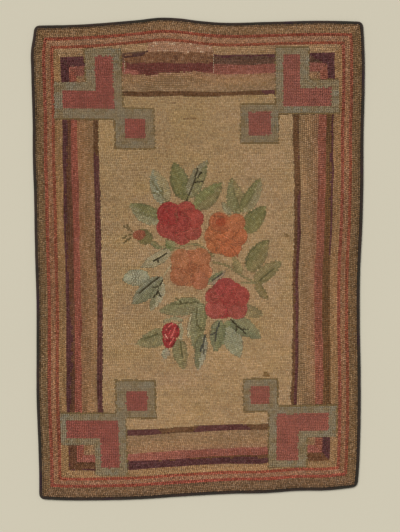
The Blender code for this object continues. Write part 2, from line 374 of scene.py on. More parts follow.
# Petals of the roses and buds, in the order they are hooked over each other.
# Columns: centre, half widths, turn in degrees, wool, wool at the rim.
PETALS = (
    ((-37, 77), (43, 41), 0, (147, 70, 59), (145, 69, 57)),
    ((-34, 50), (21, 20), 0, (142, 69, 57), (138, 66, 54)),
    ((-66, 67), (23, 22), 0, (140, 65, 55), (138, 63, 53)),
    ((-11, 61), (20, 21), 0, (145, 73, 59), (140, 69, 55)),
    ((-25, 106), (20, 18), 0, (148, 70, 57), (144, 67, 55)),
    ((-8, 87), (21, 21), 0, (147, 69, 57), (142, 65, 54)),
    ((-62, 97), (26, 26), 0, (139, 56, 49), (137, 54, 47)),
    ((-31, 77), (17, 17), 0, (135, 60, 51), (133, 58, 49)),
    ((61, 51), (42, 41), 0, (166, 94, 58), (164, 92, 57)),
    ((34, 49), (20, 20), 0, (159, 98, 63), (157, 96, 61)),
    ((43, 34), (25, 23), 0, (149, 92, 58), (147, 89, 56)),
    ((71, 26), (23, 22), 0, (161, 95, 61), (158, 92, 59)),
    ((86, 49), (21, 21), 0, (159, 96, 62), (157, 93, 60)),
    ((68, 64), (26, 22), 25, (162, 99, 64), (162, 98, 63)),
    ((84, 78), (19, 20), 0, (154, 96, 63), (152, 94, 61)),
    ((58, 50), (20, 14), 30, (166, 100, 65), (166, 99, 64)),
    ((47, 79), (23, 22), 0, (154, 91, 60), (148, 89, 58)),
    ((50, 80), (11, 9), 20, (148, 72, 44), (153, 76, 46)),
    ((-15, -20), (41, 40), 0, (153, 100, 67), (152, 100, 67)),
    ((-38, -37), (22, 21), 0, (147, 94, 63), (146, 93, 62)),
    ((11, -28), (20, 20), 0, (162, 103, 70), (160, 102, 69)),
    ((4, -46), (20, 20), 0, (151, 96, 67), (149, 94, 66)),
    ((5, 2), (23, 22), 0, (152, 99, 67), (150, 98, 66)),
    ((-36, 0), (22, 22), 0, (160, 107, 73), (158, 106, 72)),
    ((-12, -22), (14, 13), 0, (143, 91, 61), (144, 92, 62)),
    ((64, -86), (42, 40), 0, (148, 61, 54), (145, 60, 53)),
    ((37, -82), (21, 21), 0, (142, 70, 58), (138, 68, 55)),
    ((52, -111), (18, 18), 0, (150, 63, 59), (146, 61, 57)),
    ((38, -108), (22, 22), 0, (148, 76, 64), (141, 72, 59)),
    ((84, -107), (23, 23), 0, (142, 74, 62), (137, 72, 60)),
    ((60, -62), (24, 22), 0, (151, 70, 61), (146, 66, 59)),
    ((91, -80), (21, 22), 0, (145, 68, 57), (140, 66, 54)),
    ((66, -88), (16, 16), 0, (143, 67, 57), (141, 65, 55)),
    ((-116, 48), (20, 16), -35, (111, 101, 64), (104, 93, 60)),
    ((-126, 52), (14, 11), 8, (130, 77, 55), (118, 72, 50)),
    ((-61, -171), (15, 22), -8, (140, 52, 48), (130, 42, 42)),
    ((-58, -157), (19, 20), -15, (140, 52, 48), (128, 40, 40)),
)
# An oval leaf, hooked in rings like a petal.
OVAL_LEAF = ((-132, -40), (28, 18), 4, (139, 133, 108), (129, 126, 97))
# A petal's outline wavers by a share, and its wool turns to the rim's over its outer part.
PETAL_WAVER = 0.035
PETAL_MOTTLE = 0.035
RIM_FROM = 0.8
RIM_DEEP = 0.2

# Lines across the petals: wool, width, points.
STREAKS = (
    ((126, 63, 49), 4.4, ((-45, 110), (-47, 96), (-46, 78))),
    ((134, 55, 45), 2.6, ((-52, 56), (-38, 50), (-22, 54))),
    ((138, 55, 46), 2.4, ((-30, 98), (-22, 84), (-14, 70))),
    ((140, 46, 41), 2.4, ((-76, 110), (-62, 104), (-54, 112))),
    ((137, 49, 45), 2.4, ((-80, 84), (-66, 80), (-56, 86))),
    ((142, 86, 54), 3.0, ((26, 82), (28, 68), (38, 59), (52, 56), (64, 60))),
    ((128, 76, 48), 2.4, ((36, 92), (48, 94), (58, 90))),
    ((147, 86, 55), 2.4, ((48, 40), (58, 30), (58, 14))),
    ((154, 91, 60), 2.4, ((72, 44), (84, 34), (98, 38))),
    ((160, 94, 65), 2.4, ((-22, 18), (-16, 2), (-18, -14))),
    ((153, 91, 60), 2.4, ((-52, -20), (-38, -18), (-26, -26))),
    ((143, 84, 54), 2.4, ((-12, -34), (-6, -46), (-14, -58))),
    ((153, 89, 56), 2.4, ((4, -14), (18, -12), (28, -20))),
    ((148, 56, 48), 2.4, ((48, -86), (58, -96), (72, -94))),
    ((136, 55, 46), 2.4, ((62, -104), (64, -118), (60, -128))),
    ((145, 59, 51), 2.4, ((74, -64), (78, -76), (90, -98))),
    ((145, 60, 54), 2.4, ((26, -94), (38, -96), (46, -90))),
    ((146, 85, 52), 2.2, ((40, 42), (58, 37), (78, 47), (91, 63))),
    ((143, 84, 52), 2.2, ((24, 46), (37, 32), (40, 14))),
    ((137, 78, 47), 2.2, ((72, 26), (84, 12), (86, 4))),
    ((194, 104, 94), 2.6, ((-69, -154), (-62, -145), (-53, -139))),
    ((208, 146, 128), 2.2, ((-71, -162), (-64, -172))),
    ((192, 102, 92), 3.0, ((-49, -146), (-53, -160), (-58, -170))),
    ((192, 84, 78), 2.2, ((-58, -153), (-62, -162))),
    ((186, 87, 80), 2.4, ((-50, -169), (-56, -178), (-62, -184))),
    ((180, 83, 76), 2.2, ((-74, -165), (-70, -175))),
    ((118, 32, 35), 2.4, ((-65, -148), (-62, -153), (-57, -146))),
    ((108, 24, 28), 2.4, ((-49, -178), (-57, -191))),
    ((115, 32, 33), 2.4, ((-44, -144), (-44, -155))),
    ((116, 29, 30), 2.4, ((-66, -176), (-62, -178), (-55, -172))),
)

# The mend in the top band.
MEND_LEFT, MEND_RIGHT = -158.9, 32.9
MEND_TOP, MEND_MIDDLE, MEND_LOW = 446.0, 422.2, 400.6
MEND_BROWN = (112, 78, 54)
BROWN_PALE = (134, 100, 74)
BROWN_DARK = (94, 62, 44)
MEND_MAROON = (98, 54, 46)
MEND_PINK = (147, 111, 85)
MEND_CREAM = (172, 146, 120)
MEND_FRAYED = (156, 120, 94)
PINK_LEFT = -107.2
MEND_RAGGED = 2.2
MEND_SUNK = 0.9
# Its top starts lower at the left by so much, and rises over so much of its length.
MEND_SLOPE = 6
MEND_SLOPE_RUN = 50
# How far its lower edge lies above MEND_LOW: x, mm.
MEND_EDGE = ((-159, 3.0), (-126, -2.5), (-103, -4.0), (-68, -1.0), (-8, 4.0), (33, 1.5))
# Small pieces of other wool in it: from x, to x, from y, to y, rise along it, wool.
MEND_SCRAPS = (
    (-158.9, -113.0, 431.5, 437.0, 0.19, (76, 49, 43)),
    (-158.9, -127.0, 400.0, 410.0, -0.16, (140, 86, 72)),
)
# Rows of cream running stitches: x, from y, to y.
MEND_STITCHES = ((33.9, 400.6, 441.6), (-157.8, 402.8, 428.6))

# Spots on the field: centre, half widths, wool.
SPOTS = (
    ((-17, 302), (12, 2.4), (124, 97, 66)),
    ((-51, 337), (6, 2.2), (124, 98, 68)),
    ((147, -248), (8, 4.6), (112, 85, 48)),
    ((190, 51), (5, 3.4), (124, 99, 66)),
)

# The binding tape, as the solids have it.
TAPE = 0.9
LAP = 7.0
FOLD_HEIGHT = 4.2
FOLD_DEPTH = 1.6
FOLD_ROUND_IN = 0.45
FOLD_ROUND_UP = 0.65
MARGIN_EDGE = 2.1
TAPE_SHOULDER = 4.2
TAPE_CREST = 0.25
TAPE_POINTS = (300, 202, 296, 208)
STITCH_STEP = 6.2
# How the tape's inner edge wanders, how it puckers and where its fold swells.
# Columns: mm, mm along the edge, place in the net of chance values.
TAPE_WANDER = ((0.5, 11, 2.0), (0.35, 34, 5.0))
TAPE_PUCKER = ((0.3, 8, 8.0),)
TAPE_SWELL = ((0.12, 17, 3.0),)
STITCH_PUCKER = 0.22
PUCKER_LIMITS = (-0.5, 0.45)
# Stitches: where they start and end in from the edge, and how far they slant to each side.
STITCH_IN = (5.2, 8.2)
STITCH_SLANT = (0.9, 1.1)
STITCH_SLIP = 0.5
MEND_STITCH = 3.4
MEND_STITCH_STEP = 5.2
# Worn stretches of the tape: place in the noise, wool.
TAPE_SHADES = (
    (0.36, (41, 37, 28)),
    (0.48, (45, 36, 30)),
    (0.58, (52, 40, 31)),
    (0.68, (46, 31, 34)),
)

# How unevenly each part's wool took the dye, as a spread in display steps.
HEATHER = (
    ("outer", 7.5),
    ("stripes", 6.2),
    ("fade", 7.0),
    ("field_upper", 6.2),
    ("field_lower", 6.0),
    ("mend", 5.0),
    ("keys", 2.0),
    ("leaves", 6.0),
    ("roses", 6.0),
)

# The kinds of wool: part of the pile, fibres across a metre, strength of the fuzz, sheen.
WOOLS = (
    ("outer", 520.0, 1.9, 0.03),
    ("stripes", 520.0, 1.4, 0.03),
    ("fade", 540.0, 1.3, 0.03),
    ("field_upper", 560.0, 1.1, 0.03),
    ("field_lower", 560.0, 1.0, 0.03),
    ("mend", 700.0, 1.2, 0.02),
    ("keys", 540.0, 1.0, 0.03),
    ("leaves", 560.0, 1.1, 0.04),
    ("roses", 560.0, 0.9, 0.04),
)
DARK_THREAD = (44, 38, 32)
CREAM_THREAD = (196, 176, 146)

# The weaves: radians of their sine in a metre. The reliefs: strength, depth in metres.
BURLAP_WEAVE = 1700.0
TAPE_WEAVE = 3600.0
WOOL_RELIEF = (0.6, 0.0006)
BURLAP_RELIEF = (0.8, 0.0008)
TAPE_RELIEF = (0.5, 0.0004)
THREAD_RELIEF = (0.4, 0.0003)

JUTE = (146, 120, 86)
JUTE_FRONT = (150, 126, 92)
BURLAP_CELLS = (208, 144)
# The upper face's part of the burlap's UV map lies this far beside the lower face's.
UPPER_MAP = 760

# The picture covers this height at the pile, in metres, and this point, in mm, is its middle.
FRAME_HEIGHT = 1.1459
FRAME_MIDDLE = (4.85, -15.1)
CAMERA_HEIGHT = 3.2
SENSOR = 36.0
FLOOR_LIGHT = np.array((0.556, 0.515, 0.402))
FLOOR_GRAIN = 0.015
FLOOR_HALF = 6.0
FLOOR_DROP = 0.0004
SUN_STRENGTH = 2.6
SUN_SOFTNESS = 40
SUN_TURN = (-28, -22, 0)
FILL_STRENGTH = 0.45

# Chance: the seeded draws, a net of values for soft patches, and values for rows and strips.
rng = np.random.default_rng(1911)
CELLS = 64
NET = rng.normal(size=(CELLS, CELLS))
CHANCES = 8192
CHANCE = np.random.default_rng(77).normal(size=CHANCES)


def light_of(colour):
    """Display values from 0 to 255 as shares of light, by the usual display curve."""
    c = np.asarray(colour, float) / 255
    return np.where(c <= 0.04045, c / 12.92, ((c + 0.055) / 1.055) ** 2.4)


def mix(a, b, share):
    """a where share is 0, b where it is 1."""
    share = np.clip(np.asarray(share, float), 0, 1)[..., None]
    return np.asarray(a, float) * (1 - share) + np.asarray(b, float) * share


def in_box(u, v, box):
    """Which points lie in a box: u from, u to, v from, v to."""
    return (u > box[0]) & (u < box[1]) & (v > box[2]) & (v < box[3])


def patches(x, y, width, height, shift=0.0):
    """Soft random patches with a mean of 0: random values at the corners of a net, blended
    between them by 3t^2 - 2t^3."""
    u, v = x / width + shift, y / height + 1.7 * shift
    i, j = np.floor(u).astype(int), np.floor(v).astype(int)
    s, t = u - i, v - j
    s, t = s * s * (3 - 2 * s), t * t * (3 - 2 * t)
    left, right = i % CELLS, (i + 1) % CELLS
    below, above = j % CELLS, (j + 1) % CELLS
    low = NET[left, below] * (1 - s) + NET[right, below] * s
    high = NET[left, above] * (1 - s) + NET[right, above] * s
    return low * (1 - t) + high * t


# The outline


def smooth_through(rows, along):
    """The swell at each distance: a curve through the rows whose slope at a row is the mean of
    the slopes on its two sides."""
    x, y = np.array(rows, float).T
    slope = np.gradient(y, x)
    i = np.clip(np.searchsorted(x, along) - 1, 0, len(x) - 2)
    width = x[i + 1] - x[i]
    t = (along - x[i]) / width
    rise = (3 * t**2 - 2 * t**3) * (y[i + 1] - y[i])
    lean = (t**3 - 2 * t**2 + t) * slope[i] + (t**3 - t**2) * slope[i + 1]
    return y[i] + rise + lean * width


def side_points(side):
    """One side from corner to corner: the straight line, moved outwards by the swell."""
    a = np.array(CORNERS[CORNER_ORDER[side]])
    b = np.array(CORNERS[CORNER_ORDER[(side + 1) % 4]])
    length = np.linalg.norm(b - a)
    direction = (b - a) / length
    outward = np.array([direction[1], -direction[0]])
    along = np.linspace(0.0, length, 240)
    out = smooth_through(SWELLS[side], along * SWELLS[side][-1][0] / length)
    return a + np.outer(along, direction) + np.outer(out, outward)


def rounded(incoming, outgoing):
    """The bend from one side to the next: a parabola that leaves the sides a short way from
    the corner and pulls towards it."""
    corner = outgoing[0]
    back = np.linalg.norm(incoming - corner, axis=1)
    ahead = np.linalg.norm(outgoing - corner, axis=1)
    start = incoming[np.argmin(np.abs(back - CORNER_ROUNDING))]
    end = outgoing[np.argmin(np.abs(ahead - CORNER_ROUNDING))]
    t = np.linspace(0.0, 1.0, 25)[:, None]
    return (1 - t) ** 2 * start + 2 * t * (1 - t) * corner + t**2 * end


def edge_line():
    """The rug's outer edge as four dense lines, anticlockwise from the top left corner.
    Each runs from the middle of one corner's bend to the middle of the next."""
    sides = [side_points(side) for side in range(4)]
    bends = [rounded(sides[i - 1], sides[i]) for i in range(4)]
    pieces = []
    for i in range(4):
        bend, after = bends[i], bends[(i + 1) % 4]
        middle = len(bend) // 2
        side = sides[i]
        from_start = np.linalg.norm(side - side[0], axis=1)
        from_end = np.linalg.norm(side - side[-1], axis=1)
        kept = side[np.minimum(from_start, from_end) > CORNER_ROUNDING * 1.1]
        pieces.append(np.concatenate([bend[middle:], kept, after[: middle + 1]]))
    return pieces


EDGE = edge_line()
WHOLE_EDGE = np.concatenate(EDGE)
MIDDLE = (WHOLE_EDGE.max(axis=0) + WHOLE_EDGE.min(axis=0)) / 2
SPAN = np.ptp(WHOLE_EDGE, axis=0)


def evenly(line, count):
    """count + 1 points at even steps along a line."""
    arc = np.concatenate([[0.0], np.cumsum(np.linalg.norm(np.diff(line, axis=0), axis=1))])
    places = np.linspace(0.0, arc[-1], count + 1)
    return np.column_stack([np.interp(places, arc, line[:, k]) for k in (0, 1)])


def inward_normals(ring):
    """The directions into a closed anticlockwise ring, at each of its points."""
    tangent = np.roll(ring, -1, axis=0) - np.roll(ring, 1, axis=0)
    tangent /= np.linalg.norm(tangent, axis=1)[:, None]
    return np.column_stack([-tangent[:, 1], tangent[:, 0]])


def edge_ring(counts):
    """Points round the outer edge with so many on each side, and their inward directions."""
    parts = [evenly(piece, count)[:-1] for piece, count in zip(EDGE, counts)]
    ring = np.concatenate(parts) - MIDDLE
    return ring, inward_normals(ring)


def side_frame(side):
    """A side's first corner, its direction, its inward direction and its length."""
    a = np.array(CORNERS[CORNER_ORDER[side]]) - MIDDLE
    b = np.array(CORNERS[CORNER_ORDER[(side + 1) % 4]]) - MIDDLE
    length = np.linalg.norm(b - a)
    direction = (b - a) / length
    return a, direction, np.array([-direction[1], direction[0]]), length


def swell(side, along):
    """How far a side swells at a distance along it."""
    last = SWELLS[side][-1][0]
    return smooth_through(SWELLS[side], np.clip(along * last / side_frame(side)[3], 0, last))


def on_side(side, x, y):
    """The distance along a side from its first corner, and in from its uneven edge."""
    a, direction, inward, _ = side_frame(side)
    along = (x - a[0]) * direction[0] + (y - a[1]) * direction[1]
    depth = (x - a[0]) * inward[0] + (y - a[1]) * inward[1]
    return along, depth + swell(side, along)


def from_side(side, along, inset):
    """The point at a distance along a side and in from its edge."""
    a, direction, inward, _ = side_frame(side)
    depth = inset - swell(side, along)
    return [a[k] + along * direction[k] + depth * inward[k] for k in (0, 1)]


# The stripes


def stripe_ends(side, along):
    """How far in the pile starts and each stripe ends. The innermost two stray by the drift."""
    ends = np.array([PILE_START] + [row[side + 1] for row in STRIPES])
    drift = np.interp(along, *np.array(DRIFT[side], float).T)
    strays = np.arange(len(ends)) > FADE
    ends = ends[:, None] + strays[:, None] * drift
    for k in range(1, len(ends)):
        ends[k] += WANDER[k] * patches(along, np.full(len(along), 7.3 * k), 34, 1, side)
    return ends


def stripe_place(side, x, y):
    """Stripes counted inwards from the edge, with the share of the stripe that holds the
    point: 0 where the pile starts, 1 where the first stripe ends, and so on. On the field it
    grows by 1 in 10 mm."""
    along, inset = on_side(side, x, y)
    ends = stripe_ends(side, along)
    share = (inset - ends[:-1]) / np.diff(ends, axis=0)
    place = np.clip(share, 0, 1).sum(axis=0)
    place += np.minimum(share[0], 0) + np.maximum(inset - ends[-1], 0) / 10
    return place, along, inset


def nearest_stripe(x, y):
    """The side that each point belongs to, so that stripes meet in mitres, with its place
    there, the distance along that side and the distance in from the rug's edge."""
    found = [stripe_place(side, x, y) for side in range(4)]
    places = np.array([f[0] for f in found])
    side = places.argmin(axis=0)
    at = np.arange(len(x))
    along = np.array([f[1] for f in found])[side, at]
    inset = np.array([f[2] for f in found]).min(axis=0)
    return side, places[side, at], along, inset


def by_side(table, side, along):
    """A table's value at each point, read along the side that the point belongs to."""
    value = np.zeros(len(along))
    for k in range(4):
        here = side == k
        value[here] = np.interp(along[here], *np.array(table[k], float).T)
    return value


def striped(x, y, side, place, along):
    """The wool of the stripes: each its own colour on each side, the dark ones part purple."""
    stripe = np.clip(place.astype(int), 0, FIELD - 1)
    share = place - stripe
    wool = np.array(STRIPE_WOOL, float)[stripe, side]
    # The first rows beside the tape get painted shade, deepest on the left and top.
    edge_shade = np.array(EDGE_PAINTED_SHADE)[side]
    edge_shading = edge_shade + (1 - edge_shade) * np.clip(share / EDGE_SHADE_REACH, 0, 1)
    wool *= np.where(stripe == 0, edge_shading, 1)[:, None]
    for which, table, purple in ((DARK, DARK_PURPLE, PURPLE), (THIN, THIN_LINE_PURPLE, THIN_PURPLE)):
        edge = by_side(table, side, along) + 0.08 * patches(x, y, 9, 9, which)
        part = (stripe == which) & (share < edge)
        wool[part] = purple
    fade = stripe == FADE
    outer = mix(np.array(FADE_OUTER, float)[side], wool, share / FADE_TURN)
    inner = mix(outer, np.array(FADE_INNER, float)[side], (share - FADE_TURN) / (1 - FADE_TURN))
    wool[fade] = inner[fade]
    streaks = patches(place * 40, along, 12, 60, 3.0)
    wool *= 1 + STREAK * streaks[:, None]
    return wool


def mended(x, y, wool, place):
    """The mend: brown darning over the dark stripe, maroon under it, pinkish wool above."""
    across = (x > MEND_LEFT) & (x < MEND_RIGHT) & (place > OCHRE)
    speckle = patches(x, y, 4, 4, 9.0)
    ragged = MEND_RAGGED * patches(x, y, 9, 400, 5.0)
    slope = np.clip((x - MEND_LEFT) / MEND_SLOPE_RUN, 0, 1) * MEND_SLOPE - MEND_SLOPE
    low = MEND_LOW + np.interp(x, *np.array(MEND_EDGE, float).T) + ragged
    high = MEND_TOP + slope + 0.4 * ragged
    brown = across & (y < high) & (y > low)
    wool[brown] = mix(MEND_BROWN, BROWN_PALE, 0.5 * speckle)[brown]
    wool[brown & (speckle < -0.9)] = BROWN_DARK
    maroon = across & (y < MEND_MIDDLE + 0.3 * ragged) & (y > low) & (x > MEND_LEFT + 4)
    wool[maroon] = MEND_MAROON
    pink = across & (x > PINK_LEFT + 4 * speckle) & (y >= high)
    wool[pink] = mix(MEND_PINK, MEND_CREAM, 0.9 * speckle - 0.3)[pink]
    frayed = across & (x > PINK_LEFT) & (y < low) & (y > low - 5) & (speckle > 0.5)
    wool[frayed] = MEND_FRAYED
    for *box, rise, scrap in MEND_SCRAPS:
        wool[in_box(x, y - (x - box[0]) * rise, box)] = scrap
    return wool, brown | maroon | pink


def field_wool(x, y):
    """The tan ground, more olive at the upper left and warmer below, in broad soft patches."""
    u, v = x / SPAN[0], y / SPAN[1]
    olive = np.clip(0.55 * (v - u) + 0.1, 0, 1)
    wool = mix(mix(FIELD_WOOL, FIELD_OLIVE, 1.5 * olive), FIELD_WARM, np.clip(-1.5 * v, 0, 0.6))
    tone = sum(amount * patches(x, y, *net) for amount, *net in FIELD_PATCHES)
    wool *= 1 + tone[:, None]
    amount, *net = BLUE_PATCHES
    wool[:, 2] *= 1 + amount * patches(x, y, *net)
    for (cx, cy), (wide, high), spot in SPOTS:
        part = np.hypot((x - cx) / wide, (y - cy) / high) < 1 + 0.2 * patches(x, y, 4, 4, cx)
        wool[part] = spot
    return wool


# The motifs. Each says which points it holds, the wool at them, and its rows of loops.


def turned(x, y, degrees):
    """Points turned anticlockwise round the middle."""
    a = np.radians(degrees)
    return x * np.cos(a) - y * np.sin(a), x * np.sin(a) + y * np.cos(a)


class Key:
    """The block at a corner: lattice rows, grey-green round a rose heart. A point is at
    u = (x - lean y) and v = (y - lean x) from the elbow, counted outwards."""

    zone = "keys"
    size = 1.0

    def __init__(self, row, rose):
        self.elbow, self.outward, self.leans, self.arms, self.ends = row[:5]
        self.upright, self.level, self.square, self.heart = row[5:]
        self.rose = rose

    def local(self, x, y):
        dx, dy = x - self.elbow[0], y - self.elbow[1]
        u, v = dx - self.leans[0] * dy, dy - self.leans[1] * dx
        return u * self.outward[0], v * self.outward[1]

    def parts(self, u, v):
        reach = (u > 0) & (v > 0) & (u < self.ends[1]) & (v < self.ends[0])
        arms = reach & ((u < self.arms[0]) | (v < self.arms[1]))
        return arms, in_box(u, v, self.square)

    def holds(self, x, y):
        arms, square = self.parts(*self.local(x, y))
        inside = arms | square
        inside[inside] = nearest_stripe(x[inside], y[inside])[1] > OCHRE
        return inside

    def wool(self, x, y):
        u, v = self.local(x, y)
        arms, square = self.parts(u, v)
        patch = patches(x, y, 7, 7, 6.0)
        broad = patches(x, y, 24, 24, 2.5)
        wool = mix(mix(KEY_GREEN, KEY_GREY, 0.3 + 0.6 * broad), KEY_KHAKI, 0.25 - 0.5 * patch)
        low_u, high_u, low_v, high_v = self.square
        rim = np.minimum.reduce([u - low_u, high_u - u, v - low_v, high_v - v])
        line = square & ~arms & (rim < KEY_LINE)
        edge = np.minimum(u, v)
        back = np.maximum(self.arms[0] - u, self.arms[1] - v)
        end = np.minimum(self.ends[1] - u, self.ends[0] - v)
        line |= arms & ~square & (edge < KEY_LINE)
        line |= arms & (np.minimum(np.abs(back), end) < 0.5 * KEY_LINE)
        wool[line] = KEY_OLIVE
        rose = np.array(self.rose) * (1 + 0.03 * patch[:, None] + 0.02 * broad[:, None])
        up, level = self.upright, self.level
        heart = in_box(u, v, self.heart)
        heart |= in_box(u, v, (up[0], up[1], level[0], up[2]))
        heart |= in_box(u, v, (up[0], level[2], level[0], level[1]))
        wool[heart] = rose[heart]
        return wool

    def rows(self):
        made = []
        for v in np.arange(*KEY_ROWS) * ROW:
            u = np.arange(*KEY_LOOPS) * LOOP + rng.normal(scale=0.3) + 1.6 * (rng.random() - 0.5)
            dx, dy = u * self.outward[0], np.full(len(u), v) * self.outward[1]
            x = self.elbow[0] + dx + self.leans[0] * dy
            straight = np.column_stack([x, self.elbow[1] + dy + self.leans[1] * dx])
            made.append(straight + rng.normal(scale=KEY_STRAY, size=straight.shape))
        return made


class Petal:
    """An ellipse of loops in rings."""

    zone = "roses"
    size = 1.0

    def __init__(self, centre, radii, turn, wool, rim):
        self.centre, self.radii, self.turn = centre, radii, turn
        self.inner, self.rim = wool, rim

    def distance(self, x, y):
        u, v = turned(x - self.centre[0], y - self.centre[1], -self.turn)
        waver = 1 + PETAL_WAVER * patches(x, y, 9, 9, 0.7)
        return np.hypot(u / self.radii[0], v / self.radii[1]) * waver

    def holds(self, x, y):
        return self.distance(x, y) < 1

    def wool(self, x, y):
        wool = mix(self.inner, self.rim, (self.distance(x, y) - RIM_FROM) / RIM_DEEP)
        mottle = PETAL_MOTTLE * patches(x, y, 7, 7, 8.0)
        mottle += PETAL_MOTTLE * patches(x, y, 18, 15, 3.1)
        return wool * (1 + mottle)[:, None]

    def rows(self):
        made = []
        for inset in np.arange(ROW / 2, min(self.radii), ROW):
            a, b = self.radii[0] - inset, self.radii[1] - inset
            count = max(3, round(np.pi * (a + b) / LOOP))
            angle = (np.arange(count) + rng.random()) * 2 * np.pi / count
            x, y = turned(a * np.cos(angle), b * np.sin(angle), self.turn)
            made.append(np.column_stack([x + self.centre[0], y + self.centre[1]]))
        return made


class Leaf:
    """A pointed leaf whose rows run beside its midrib, which bends by 4 t (1 - t), where t is
    the share of the way from base to tip."""

    zone = "leaves"
    size = 1.0

    def __init__(self, base, tip, half, bend, left, right):
        self.base, self.half, self.bend = np.array(base, float), half, bend
        self.left, self.right = left, right
        run = np.array(tip, float) - self.base
        self.length = np.linalg.norm(run)
        self.direction = run / self.length
        self.normal = np.array([-self.direction[1], self.direction[0]])

    def local(self, x, y):
        dx, dy = x - self.base[0], y - self.base[1]
        t = (dx * self.direction[0] + dy * self.direction[1]) / self.length
        s = dx * self.normal[0] + dy * self.normal[1]
        return t, s - self.bend * 4 * t * (1 - t)

    def reach(self, t):
        t = np.clip(t, 0, 1)
        widest = LEAF_BASE / (LEAF_BASE + LEAF_TIP)
        peak = widest**LEAF_BASE * (1 - widest) ** LEAF_TIP
        return self.half * t**LEAF_BASE * (1 - t) ** LEAF_TIP / peak

    def holds(self, x, y):
        t, s = self.local(x, y)
        return (t > 0) & (t < 1) & (np.abs(s) < self.reach(t))

    def wool(self, x, y):
        t, s = self.local(x, y)
        wool = np.where(s[:, None] > 0, np.array(self.left, float), np.array(self.right, float))
        outer = np.abs(s) / np.maximum(self.reach(t), 1)
        depth = np.clip((330 - wool.sum(axis=1)) / 50, 0, 1)
        rim = np.where(outer > LEAF_RIM, RIM_SHADE, INSIDE_SHADE) * depth
        wool *= (1 + 0.04 * patches(x, y, 6, 6, 7.0) + rim)[:, None]
        return wool

    def rows(self):
        count = int(self.half // ROW) + 1
        t = np.arange(0.3 * LOOP, self.length, LOOP) / self.length
        made = []
        for k in range(-count, count + 1):
            s = k * ROW + self.bend * 4 * t * (1 - t)
            ahead = np.outer(t * self.length, self.direction)
            made.append(self.base + ahead + np.outer(s, self.normal))
        return made


class Line:
    """A vein, stem or streak: one or two rows along a bent line."""

    def __init__(self, wool, width, points, zone):
        self.colour, self.width, self.zone = wool, width, zone
        points = np.array(points, float)
        share = np.linspace(0, 1, len(points))
        length = np.linalg.norm(np.diff(points, axis=0), axis=1).sum()
        fine = np.linspace(0, 1, max(3, round(length / LOOP)) * 4 + 1)
        self.path = np.column_stack([np.interp(fine, share, points[:, k]) for k in (0, 1)])
        self.path[1:-1] = (self.path[:-2] + 2 * self.path[1:-1] + self.path[2:]) / 4
        self.size = np.interp(width, (2.0, ROW), (0.68, 1.0))

    def holds(self, x, y):
        near = np.full(len(x), np.inf)
        for px, py in self.path:
            near = np.minimum(near, np.hypot(x - px, y - py))
        return near < self.width / 2

    def wool(self, x, y):
        return np.tile(np.array(self.colour, float), (len(x), 1))

    def rows(self):
        step = self.path[2::4]
        ahead = np.gradient(self.path, axis=0)[2::4]
        side = np.column_stack([-ahead[:, 1], ahead[:, 0]])
        side /= np.linalg.norm(side, axis=1)[:, None]
        count = max(1, round(self.width / ROW))
        return [step + side * ((k + 0.5) / count - 0.5) * self.width for k in range(count)]


def make_motifs():
    """All motifs, the later ones hooked over the earlier ones."""
    motifs = [Petal(*OVAL_LEAF)]
    motifs += [Leaf(*row) for row in LEAVES]
    motifs += [Line(*row, "leaves") for row in LINES]
    motifs += [Petal(*row) for row in PETALS]
    motifs += [Line(*row, "roses") for row in STREAKS]
    return motifs + [Key(row, rose) for row, rose in zip(KEYS, KEY_ROSE)]


MOTIFS = make_motifs()


def owner(x, y):
    """The number of the topmost motif that holds each point, or -1 on the ground."""
    top = np.full(len(x), -1)
    for number, motif in enumerate(MOTIFS):
        top[motif.holds(x, y)] = number
    return top


def design(x, y):
    """The wool at each point, the part of the rug that it belongs to, and its owner."""
    side, place, along, _ = nearest_stripe(x, y)
    on_field = place >= FIELD
    wool = np.where(on_field[:, None], field_wool(x, y), striped(x, y, side, place, along))
    wool, mend = mended(x, y, wool, place)
    zone = np.full(len(x), "field_lower", dtype="<U12")
    zone[y > 0] = "field_upper"
    zone[place < FIELD] = "fade"
    zone[place < FADE] = "stripes"
    zone[place < OCHRE] = "outer"
    zone[mend] = "mend"
    top = owner(x, y)
    for number, motif in enumerate(MOTIFS):
        held = top == number
        wool[held] = motif.wool(x[held], y[held])
        zone[held] = motif.zone
    return wool, zone, top


# The loops


def stripe_rows():
    """Rows that follow the edge, a whole number of them in each stripe."""
    made = []
    for side in range(4):
        length = side_frame(side)[3]
        for stripe in range(FIELD):
            ends = stripe_ends(side, np.array([length / 2]))[:, 0]
            count = max(1, round((ends[stripe + 1] - ends[stripe]) / ROW))
            for row in range(count):
                share = (row + 0.5) / count
                along = np.arange(rng.random() * LOOP, length, LOOP)
                bounds = stripe_ends(side, along)
                inset = bounds[stripe] * (1 - share) + bounds[stripe + 1] * share
                made.append((np.column_stack(from_side(side, along, inset)), side))
    return made


def field_rows():
    """Level rows across the field, bowed as a hand hooks them, in long waves and in shorter
    ones that shift from row to row."""
    made = []
    for y in np.arange(-SPAN[1] / 2, SPAN[1] / 2, ROW):
        x = np.arange(-SPAN[0] / 2 + rng.random() * LOOP, SPAN[0] / 2, LOOP)
        bow = LONG_BOW[0] * np.sin(x / LONG_BOW[1] + 0.4)
        bow += SHORT_BOW[0] * np.sin(x / SHORT_BOW[1] + y / BOW_SHIFT)
        made.append((np.column_stack([x, y + bow]), -1))
    return made


def heading_of(points):
    """The direction of a row at each of its loops."""
    if len(points) < 2:
        return np.zeros(len(points))
    ahead = np.gradient(points, axis=0)
    return np.arctan2(ahead[:, 1], ahead[:, 0])


